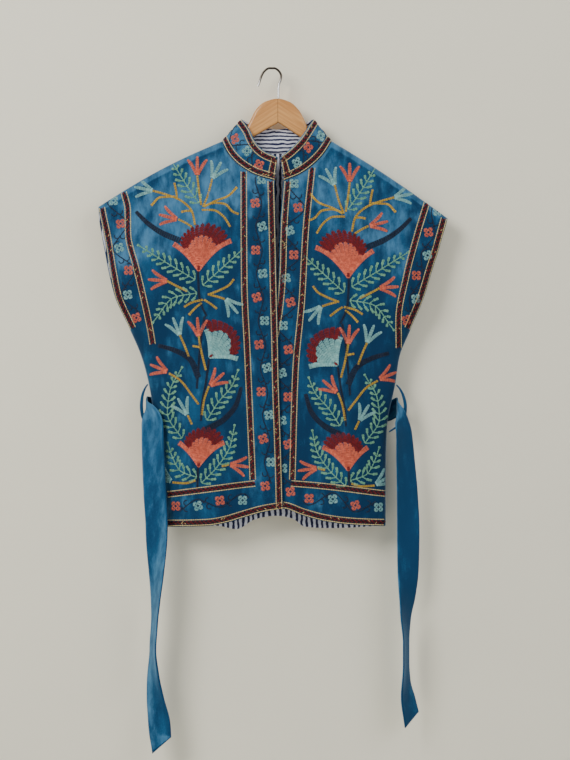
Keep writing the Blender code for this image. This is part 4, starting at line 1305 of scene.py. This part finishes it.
class Stitches:
    """The stitches of every colour on one panel, kept as strands until their meshes are made."""

    def __init__(self, name, lay, slot="velvet"):
        self.name, self.lay, self.slot = name, lay, slot
        self.strands = {}
        self.design = lambda line: line

    def strand(self, colour, first, second, bow, normal, thick):
        """One strand from first to second, bowed sideways and closed at its ends."""
        self.strands.setdefault(colour, []).append((first, second, bow, normal, thick))

    def chain(self, colour, line, wide=ROW, thick=STRAND, lie=LIE):
        """A row of chain stitch along a line of places (x, z)."""
        found = self.lay(even(self.design(np.array(line, float)), STITCH))
        for before, after in zip(found, found[1:]):
            if before is None or after is None:
                continue
            (a, normal), (b, _) = before, after
            run = b - a
            if not SHORTEST < np.linalg.norm(run) < LONGEST:
                continue
            side = np.cross(normal, run)
            side /= max(np.linalg.norm(side), 1e-9)
            lift, reach = normal * lie, run * OVERLAP
            for hand in (-1.0, 1.0):
                bow = side * hand * (wide / 2 - thick)
                self.strand(colour, a + lift - reach, b + lift + reach, bow, normal, thick)

    def finish(self):
        """One joined mesh for each colour."""
        pieces, total = [], 0
        for colour, strands in self.strands.items():
            first, second, bow, normal = (np.array([strand[k] for strand in strands]) for k in range(4))
            thick = np.array([strand[4] for strand in strands])[:, None]
            run = second - first
            side = np.cross(normal, run)
            side /= np.maximum(np.linalg.norm(side, axis=1, keepdims=True), 1e-9)
            rings = []
            for share in (0.3, 0.7):
                for angle in (pi / 2, pi * 7 / 6, pi * 11 / 6):
                    around = side * cos(angle) + normal * sin(angle)
                    rings.append(first + run * share + bow + around * thick)
            corners = np.stack([first, *rings, second], axis=1).reshape(-1, 3)
            faces = (np.array(STRAND_FACES)[None] + 8 * np.arange(len(strands))[:, None, None]).reshape(-1, 3)
            piece = mesh_from_arrays(self.name + "_" + colour, corners * MM, faces, THREADS[colour])
            pieces.append(piece)
            total += len(faces)
        print(self.name, "stitch triangles:", total)
        return pieces


def mesh_from_arrays(name, corners, faces, material):
    mesh = bpy.data.meshes.new(name)
    mesh.vertices.add(len(corners))
    mesh.vertices.foreach_set("co", corners.astype(np.float32).ravel())
    mesh.loops.add(3 * len(faces))
    mesh.loops.foreach_set("vertex_index", faces.astype(np.int32).ravel())
    mesh.polygons.add(len(faces))
    mesh.polygons.foreach_set("loop_start", np.arange(0, 3 * len(faces), 3, dtype=np.int32))
    mesh.polygons.foreach_set("use_smooth", np.ones(len(faces), bool))
    mesh.materials.append(material)
    mesh.update(calc_edges=True)
    piece = bpy.data.objects.new(name, mesh)
    bpy.context.scene.collection.objects.link(piece)
    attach(piece, "root")
    return piece

# %% [markdown]
# The borders are braids: a thick band of dark and maroon slanted stitches between two rows of gold-cream
# chain. Between the borders runs a vine of small scrolls with a four-petalled flower in each.

# %% Braid and vine
BAND = 5.6               # width of the dark band of a braid
BAND_PITCH = 1.45        # distance between its slanted stitches
BAND_STRAND = 0.82
BAND_LAG = 2             # steps by which a stitch's outer end runs ahead of its inner one
CREAM_CHANCE = 0.02      # share of the slanted stitches that are cream
EDGE_ROW = 4.5           # distance of the cream rows from the middle of the braid
NO_BOW = np.zeros(3)     # a slanted stitch lies straight
draws = np.random.default_rng(21)


def braid(work, route, smooth=True):
    """A braid along a route of places (x, z)."""
    line = smooth_line(route, 3.0) if smooth else np.array(route, float)
    for hand in (-1.0, 1.0):
        work.chain("cream", beside(line, hand * EDGE_ROW), 1.8, 0.6)
    steps = even(line, BAND_PITCH)
    for number, half in enumerate((-1.0, 1.0)):
        outer = beside(steps, half * BAND / 2)
        inner_line, outer_line = steps[:-BAND_LAG], outer[BAND_LAG:]
        starts, ends = work.lay(inner_line), work.lay(outer_line)
        for count, (start, end) in enumerate(zip(starts, ends)):
            if start is None or end is None or np.linalg.norm(end[0] - start[0]) > 3 * BAND:
                continue
            chance = draws.random()
            slanted = "maroon" if (count + 2 * number) % 5 < 2 else "dark"
            colour = "cream" if chance < CREAM_CHANCE else slanted
            lift = start[1] * 0.5
            reach = (end[0] - start[0]) * 0.12
            work.strand(colour, start[0] + lift - reach, end[0] + lift + reach, NO_BOW, start[1],
                        BAND_STRAND)


def arc(middle, radius, start, end, count=14):
    angles = np.radians(np.linspace(start, end, count))
    return np.stack([middle[0] + radius * np.cos(angles), middle[1] + radius * np.sin(angles)], axis=1)


def rosette(work, colour, middle, turn=45.0):
    """Four round petals about a small navy eye."""
    for quarter in range(4):
        angle = radians(turn + 90 * quarter)
        centre = (middle[0] + 5.3 * cos(angle), middle[1] + 5.3 * sin(angle))
        work.chain(colour, arc(centre, 3.2, degrees_of(angle) + 180, degrees_of(angle) + 540, 16), 2.5, 0.62)
        work.chain(colour, [centre, (centre[0] + 2.0 * cos(angle), centre[1] + 2.0 * sin(angle))], 3.2, 1.0)
    work.chain("navy", [(middle[0] - 0.9, middle[1]), (middle[0] + 0.9, middle[1])], 1.8, 0.5)


def degrees_of(angle):
    return angle * 180 / pi


def vine(work, flowers, offset=(0.0, 0.0)):
    """Flowers along a border, each in a navy scroll that springs from the one before."""
    places = [(x + offset[0], z + offset[1]) for _, x, z in flowers]
    for number, ((colour, _, _), place) in enumerate(zip(flowers, places)):
        rosette(work, colour, place, 45.0 + 9.0 * (number % 3))
        if number + 1 == len(flowers):
            break
        ahead = np.array(places[number + 1]) - np.array(place)
        heading = degrees_of(atan2(ahead[1], ahead[0]))
        hand = 1.0 if number % 2 else -1.0
        scroll = arc(place, 11.0, heading + hand * 160, heading + hand * 35, 8)
        gap = np.hypot(*ahead)
        if gap < 24:
            continue
        next_on = arc(places[number + 1], 11.0, heading + 180 + hand * 62, heading + 180 + hand * 8, 5)
        middle = np.array(place) + ahead * 0.52
        work.chain("navy", smooth_line([*scroll[::2], tuple(middle), *next_on[::2]], 2.0), 2.1, 0.62)
        for side in (hand, -hand):
            across = np.array([-ahead[1], ahead[0]]) / gap * side
            curl = arc(middle + across * 5.0, 4.6, heading - side * 90, heading + side * 110, 8)
            work.chain("navy", curl, 2.0, 0.62)


# %% [markdown]
# The big plants grow up each front: navy stems, mustard twigs with tulips at their ends, ferns, and three
# fan-shaped flowers with a maroon crest. Petals and leaves are filled with rows side by side, which start
# from the foot and end in round tips.

# %% Twigs, ferns and tulips
def twig(work, colour, route, rows=2, end_rows=None):
    """A stem of one or more rows; end_rows widens its last part."""
    line = smooth_line(route, 2.0)
    for row in range(rows):
        work.chain(colour, beside(line, (row - (rows - 1) / 2) * (ROW - 0.6)), 2.2, 0.6)
    if end_rows:
        tail = line[int(len(line) * 0.55):]
        for hand in (-1.0, 1.0):
            work.chain(colour, beside(tail, hand * 1.3 * np.linspace(0.3, 1.0, len(tail))), 2.1, 0.55)


def branch(work, route, wide=8.0):
    """A thick navy branch that tapers towards its end."""
    line = smooth_line(route, 2.0)
    taper = np.sin(np.linspace(0.35, 1.0, len(line)) * pi / 2)
    for row in (-1.0, -0.5, 0.0, 0.5, 1.0):
        work.chain("navy", beside(line, row * wide / 2 * taper), 2.1, 0.6)


def fern(work, route, longest=17.0, pairs=None):
    """A mint frond: a stem with loop-shaped leaflets in pairs that shorten towards the tip."""
    line = smooth_line(route, 2.0)
    work.chain("mint", line, 2.1, 0.55)
    length = np.hypot(*np.diff(line, axis=0).T).sum()
    pairs = pairs or max(int(length / 10.5), 3)
    stem = even(line, length / pairs)
    run = np.gradient(stem, axis=0)
    for number in range(pairs + 1):
        heading = atan2(run[number][1], run[number][0])
        share = number / pairs
        leaf = longest * (0.74 + 0.36 * np.sin(pi * min(share + 0.15, 1.0)) - 0.30 * share)
        hands = (-1.0, 1.0) if number < pairs else (0.0,)
        for hand in hands:
            lean = heading + hand * radians(48.0)
            tip = stem[number] + leaf * np.array([cos(lean), sin(lean)])
            bent = stem[number] + 0.5 * leaf * np.array([cos(lean + hand * 0.16), sin(lean + hand * 0.16)])
            leaf_line = smooth_line([stem[number], bent, tip], 2.0)
            work.chain("mint", leaf_line, 2.2, 0.55)
            tail = leaf_line[int(len(leaf_line) * 0.45):]
            if len(tail) > 2:
                work.chain("mint", beside(tail, 1.15), 1.9, 0.5)
                work.chain("mint", beside(tail, -1.15), 1.9, 0.5)


PETAL_ROW = 2.1          # distance between a petal's rows at its widest


def petal(work, colour, foot, heading, length, wide, curl=0.0):
    """A long petal, filled with rows that meet at its foot and its round tip."""
    share = np.linspace(0.0, 1.0, 12)
    bend = radians(curl) * share ** 1.5
    forward = np.cumsum(np.r_[0.0, np.diff(share)] * np.cos(bend)) * length
    sideways = np.cumsum(np.r_[0.0, np.diff(share)] * np.sin(bend)) * length
    across = np.array([-np.sin(heading), np.cos(heading)])
    along = np.array([np.cos(heading), np.sin(heading)])
    middle = np.array(foot) + forward[:, None] * along + sideways[:, None] * across
    round_tip = np.sqrt(np.maximum(np.sin(np.clip(share * 0.92 + 0.06, 0.0, 1.0) * pi), 0.0))
    profile = round_tip * (0.55 + 0.45 * share)
    rows = max(int(round(wide / PETAL_ROW)), 1)
    for row in range(rows):
        place = 0.0 if rows == 1 else (row / (rows - 1) - 0.5) * (wide - PETAL_ROW)
        work.chain(colour, beside(middle, place * profile), 2.4, 0.62)


def tulip(work, colour, foot, heading, length=31.0, spread=33.0):
    """Three petals from one foot, with a small round calyx."""
    heading = radians(heading)
    for hand in (-1.0, 0.0, 1.0):
        start = np.array(foot) + 2.0 * hand * np.array([-np.sin(heading), np.cos(heading)])
        petal(work, colour, start, heading + hand * radians(spread * 0.55),
              length * (1.0 - 0.05 * abs(hand)), 6.4, hand * spread * 0.75)
    for reach in (3.0, 8.0):
        middle = np.array(foot) + reach * np.array([cos(heading), sin(heading)])
        work.chain(colour, arc(middle, 2.2, 0.0, 360.0, 10), 2.4, 0.7)

# %% The fan-shaped flower
# How far the fan and its crest reach, in millimetres, at angles from the flower's middle line in degrees.
FAN_REACH = [(-50, 58), (-44, 52), (-37, 44), (-29, 44), (-18, 51), (-7, 57), (8, 61), (23, 60), (34, 54),
             (41, 54), (46, 62), (51, 70)]
CREST_REACH = [(-40, 55), (-34, 61), (-25, 67), (-8, 75), (4, 79), (15, 82), (28, 81), (37, 78), (45, 71)]
LOBE = (-2.8, -0.4, 0.8, -0.4)       # how the rows of one lobe differ in reach
LOBE_GAP = 0.45          # gap between lobes, as a share of a row


def fan_flower(work, colour, foot, heading, size, lips, flip, spread_out):
    """Rows that spread from one foot: the fan in one colour, and the lobed maroon crest behind it."""
    def ray(angle, start, end):
        reach = np.linspace(start, end, 14) * size
        fanned = spread_out + 0.17 * (reach / size / 62.0) ** 2
        turned = radians(heading) - flip * np.radians(angle * fanned)
        return np.stack([foot[0] + reach * np.cos(turned), foot[1] + reach * np.sin(turned)], axis=1)

    def fan_at(angle):
        reach = np.interp(angle, *np.array(FAN_REACH, float).T)
        return min(reach, lips) if abs(angle) > 38 else reach

    for table, row_colour, crest in ((CREST_REACH, "maroon", True), (FAN_REACH, colour, False)):
        angles, reaches = np.array(table, float).T
        spread = radians(angles[-1] - angles[0]) * (66.0 if crest else 52.0) * size
        rows = int(spread / (1.75 if crest else 2.0) / (1 + LOBE_GAP / len(LOBE)))
        steps = np.array([row + LOBE_GAP * (row // len(LOBE)) for row in range(rows)])
        for row, angle in enumerate(angles[0] + (angles[-1] - angles[0]) * steps / steps[-1]):
            step = LOBE[row % len(LOBE)] * (1.5 if crest else 1.0)
            if crest:
                begin, reach = fan_at(angle) - 1.0, np.interp(angle, angles, reaches) + step
                reach = min(reach, lips + 24.0)
            else:
                begin, reach = (1.5, 14.0, 28.0, 14.0)[row % 4], fan_at(angle) + step
            if reach - begin > STITCH:
                work.chain(row_colour, ray(angle, begin, reach), 2.4, 0.68)
    for hand, lip in ((-1.0, FAN_REACH[0][1]), (1.0, FAN_REACH[-1][1])):
        edge = ray(hand * 52.0, 1.0, min(lip, lips) + 3.0)
        for inset in (0.0, 2.2, 4.4, 6.4):
            side = beside(edge, flip * hand * inset * np.linspace(0.3, 1.0, len(edge)))
            work.chain(colour, side, 2.4, 0.66)
    for reach in (4.0, 6.0, 8.0):
        centre = ray(0.0, reach, reach)[0]
        work.chain("maroon", [centre - (2.0, 0.0), centre + (2.0, 0.0)], 3.2, 1.15, 1.3)


# %% What grows on a front
BRANCHES = [
    [(-224, -238), (-205, -257), (-180, -274), (-150, -287)],
    [(-187, -459), (-160, -467), (-134, -482), (-120, -512)],
    [(-50, -528), (-58, -556), (-80, -582), (-113, -600)],
]
NAVY_STEMS = [
    [(-121, -338), (-120, -365), (-118, -385), (-107, -411)],
    [(-110, -411), (-116, -447), (-123, -530)],
    [(-103, -482), (-108, -520), (-115, -560), (-116, -583)],
    [(-121, -660), (-122, -693)],
]
MUSTARD_TWIGS = [
    [(-126, -261), (-131, -239), (-151, -219), (-176, -209), (-197, -203)],
    [(-131, -264), (-142, -257), (-154, -251)],
    [(-116, -228), (-120, -203), (-123, -178)],
    [(-113, -231), (-105, -211), (-98, -183)],
    [(-110, -229), (-93, -224), (-77, -226), (-64, -239), (-54, -243)],
    [(-115, -236), (-97, -236), (-80, -246), (-68, -264)],
    [(-156, -218), (-158, -203), (-161, -190)],
    [(-105, -376), (-85, -368), (-70, -360), (-62, -350)],
    [(-101, -376), (-89, -379), (-77, -383)],
    [(-111, -384), (-100, -391), (-90, -399)],
    [(-113, -384), (-130, -388), (-144, -396)],
    [(-139, -370), (-159, -360), (-172, -353)],
    [(-120, -444), (-116, -467), (-108, -500)],
    [(-151, -442), (-143, -460), (-136, -478)],
    [(-169, -505), (-151, -516), (-131, -541), (-120, -556)],
    [(-103, -526), (-111, -549), (-115, -574)],
    [(-138, -574), (-131, -589)],
    [(-70, -655), (-82, -658)],
    [(-125, -681), (-143, -686), (-164, -685)],
]
THICK_TWIGS = [
    [(-160, -213), (-184, -214), (-199, -228)],
    [(-131, -238), (-140, -237), (-149, -239)],
    [(-111, -231), (-93, -221), (-72, -213), (-57, -198)],
    [(-115, -389), (-126, -398), (-136, -409)],
    [(-130, -460), (-118, -462)],
]
FERNS = [
    [(-120, -224), (-142, -192), (-163, -158)],
    [(-126, -351), (-170, -325), (-215, -297)],
    [(-113, -360), (-85, -335), (-52, -305)],
    [(-123, -373), (-160, -380), (-192, -417)],
    [(-148, -612), (-172, -570), (-168, -535), (-150, -500)],
    [(-106, -582), (-88, -553), (-65, -525), (-57, -505)],
    [(-115, -685), (-88, -657), (-68, -624), (-62, -596)],
    [(-123, -676), (-150, -666), (-165, -640), (-170, -625)],
]
TULIPS = [
    # colour, foot x, foot z, the way it points in degrees
    ("coral", -123, -177, 90), ("aqua", -98, -183, 62), ("aqua", -197, -203, 168), ("coral", -156, -251, 165),
    ("coral", -172, -353, 176), ("aqua", -151, -442, 112), ("coral", -120, -444, 94),
    ("aqua", -75, -383, -50), ("coral", -172, -502, 158), ("coral", -101, -525, 42),
    ("aqua", -139, -573, 120), ("coral", -68, -655, -8), ("aqua", -166, -683, 150),
]
FAN_FLOWERS = [
    # colour, foot x, foot z, the way it points, size, how far its lips reach, 1 or -1 where it is
    # turned over, how far it spreads near its foot
    ("coral", -120, -338, 90, 1.0, 70, 1, 0.70), ("aqua", -103, -480, 47, 0.82, 54, -1, 0.86),
    ("coral", -120, -660, 88, 0.84, 66, 1, 0.68),
]


def grow_plants(work):
    for route in FERNS:
        fern(work, route)
    for route in BRANCHES:
        branch(work, route)
    for route in NAVY_STEMS:
        twig(work, "navy", route, rows=2)
    for route in MUSTARD_TWIGS:
        twig(work, "mustard", route)
    for route in THICK_TWIGS:
        twig(work, "mustard", route, end_rows=2)
    for colour, x, z, heading in TULIPS:
        tulip(work, colour, (x, z), heading)
    for colour, x, z, heading, size, lips, flip, spread_out in FAN_FLOWERS:
        fan_flower(work, colour, (x, z), heading, size, lips, flip, spread_out)


# %% Borders of the fronts
MARGIN = 6.6             # distance of a border braid's middle from the edge of the cloth


def inset_line(line, inwards):
    """A line of the cloth's own edge, moved in from it; inwards points from the edge to the cloth."""
    line = smooth_line(line, 6.0)
    moved = beside(line, MARGIN)
    ahead = (moved - line) @ np.array(inwards, float)
    return moved if ahead.mean() > 0 else beside(line, -MARGIN)


def flowers_on(route, count, first, sway):
    """Flowers in turn coral and aqua at equal steps along a route, swaying to its two sides."""
    smoothed = smooth_line(route, 2.0)
    length = np.hypot(*np.diff(smoothed, axis=0).T).sum()
    line = even(smoothed, length / (count - 1))
    sides = beside(line, np.array([sway if number % 2 else -sway for number in range(len(line))]))
    colours = ("coral", "aqua") if first == "coral" else ("aqua", "coral")
    return [(colours[number % 2], x, z) for number, (x, z) in enumerate(sides)]


def panel_edges(grid):
    """The centre edge, the hem and the cap's edge of a half panel, as lines of (x, z)."""
    points = grid[0][:, :, [0, 2]]
    at = stations()
    centre = points[at <= NECK_BASE, -1][::8]
    hem = points[0, ::8]
    cap = points[(at >= UNDERARM) & (at < SHOULDER - 0.02), 0][::4]
    return centre, hem, cap


def front_borders(work, grid, hand, inner_route, hem_route, cap_route, vines):
    centre, hem, cap = panel_edges(grid)
    braid(work, inset_line(centre, (hand, 0.0)), False)
    braid(work, inset_line(hem, (0.0, 1.0)), False)
    braid(work, inset_line(cap, (-hand, -0.3)), False)
    for route in (inner_route, hem_route, cap_route):
        braid(work, route)
    for route, count, first, sway in vines:
        vine(work, flowers_on(route, count, first, sway))


right_work = Stitches("stitches_front_right", dropped_on([front_right], -1))
front_borders(
    right_work, front_right, -1.0,
    [(-46, -172), (-45, -351), (-40, -468), (-31, -680)],
    [(-27, -686), (-100, -695), (-172, -705)],
    [(-245, -205), (-238, -234), (-237, -274), (-223, -330), (-213, -371), (-200, -432), (-196, -457)],
    [([(-22, -186), (-20, -340), (-13, -500), (-5, -690)], 14, "aqua", -5.5),
     ([(-48, -712), (-100, -718), (-158, -726)], 4, "aqua", -2.0),
     ([(-258, -219), (-251, -277), (-239, -340), (-227, -414)], 6, "aqua", 4.0)])
grow_plants(right_work)
left_work = Stitches("stitches_front_left", dropped_on([front_left], -1))
front_borders(
    left_work, front_left, 1.0,
    [(67, -165), (56, -272), (50, -381), (39, -506), (34, -680)],
    [(32, -686), (100, -692), (188, -704)],
    [(258, -219), (240, -277), (222, -343), (209, -417), (210, -463)],
    [([(42, -193), (34, -280), (27, -375), (22, -500), (22, -630), (26, -700)], 14, "aqua", 5.0),
     ([(62, -709), (115, -716), (176, -728)], 4, "coral", 2.0),
     ([(271, -236), (259, -290), (241, -350), (226, -418)], 6, "aqua", -4.0)])
# The left front's plants are the right one's, mirrored and shifted by this much at these heights.
LEFT_SHIFT = ((-690.0, -480.0, -300.0), (-5.0, -13.0, -11.0))
left_work.design = lambda line: np.stack(
    [6.0 - line[:, 0], line[:, 1] + np.interp(line[:, 1], *LEFT_SHIFT)], axis=1)
grow_plants(left_work)
for work, name, grid in ((right_work, "front_right", front_right), (left_work, "front_left", front_left)):
    work.finish()

# %% Borders of the collar and the back
for name, half in (("collar_right", right_half), ("collar_left", left_half)):
    work = Stitches("stitches_" + name, laid_along(half))
    flat = along_cloth(half[0])
    tall = flat[-1, :, 1]
    along = flat[0, :, 0]
    braid(work, np.stack([along, np.full_like(along, MARGIN)], axis=1)[::3], False)
    braid(work, np.stack([along, tall - MARGIN], axis=1)[::3], False)
    braid(work, [(MARGIN, 0.7 * MARGIN), (MARGIN, tall[0] / 2), (MARGIN, tall[0] - 0.7 * MARGIN)])
    middle = np.stack([along, tall / 2], axis=1)
    reach = middle[(along > 26.0) & (along < along[-1] - 6.0)][::2]
    vine(work, flowers_on(reach, 6, "coral" if half is right_half else "aqua", 3.0))
    work.finish()
back_work = Stitches("stitches_back", dropped_on(whole_back, 1))
for hand, grid in ((-1.0, back_right), (1.0, back_left)):
    _, hem, cap = panel_edges(grid)
    braid(back_work, inset_line(hem, (0.0, 1.0)), False)
    braid(back_work, inset_line(cap, (-hand, -0.3)), False)
back_work.finish()
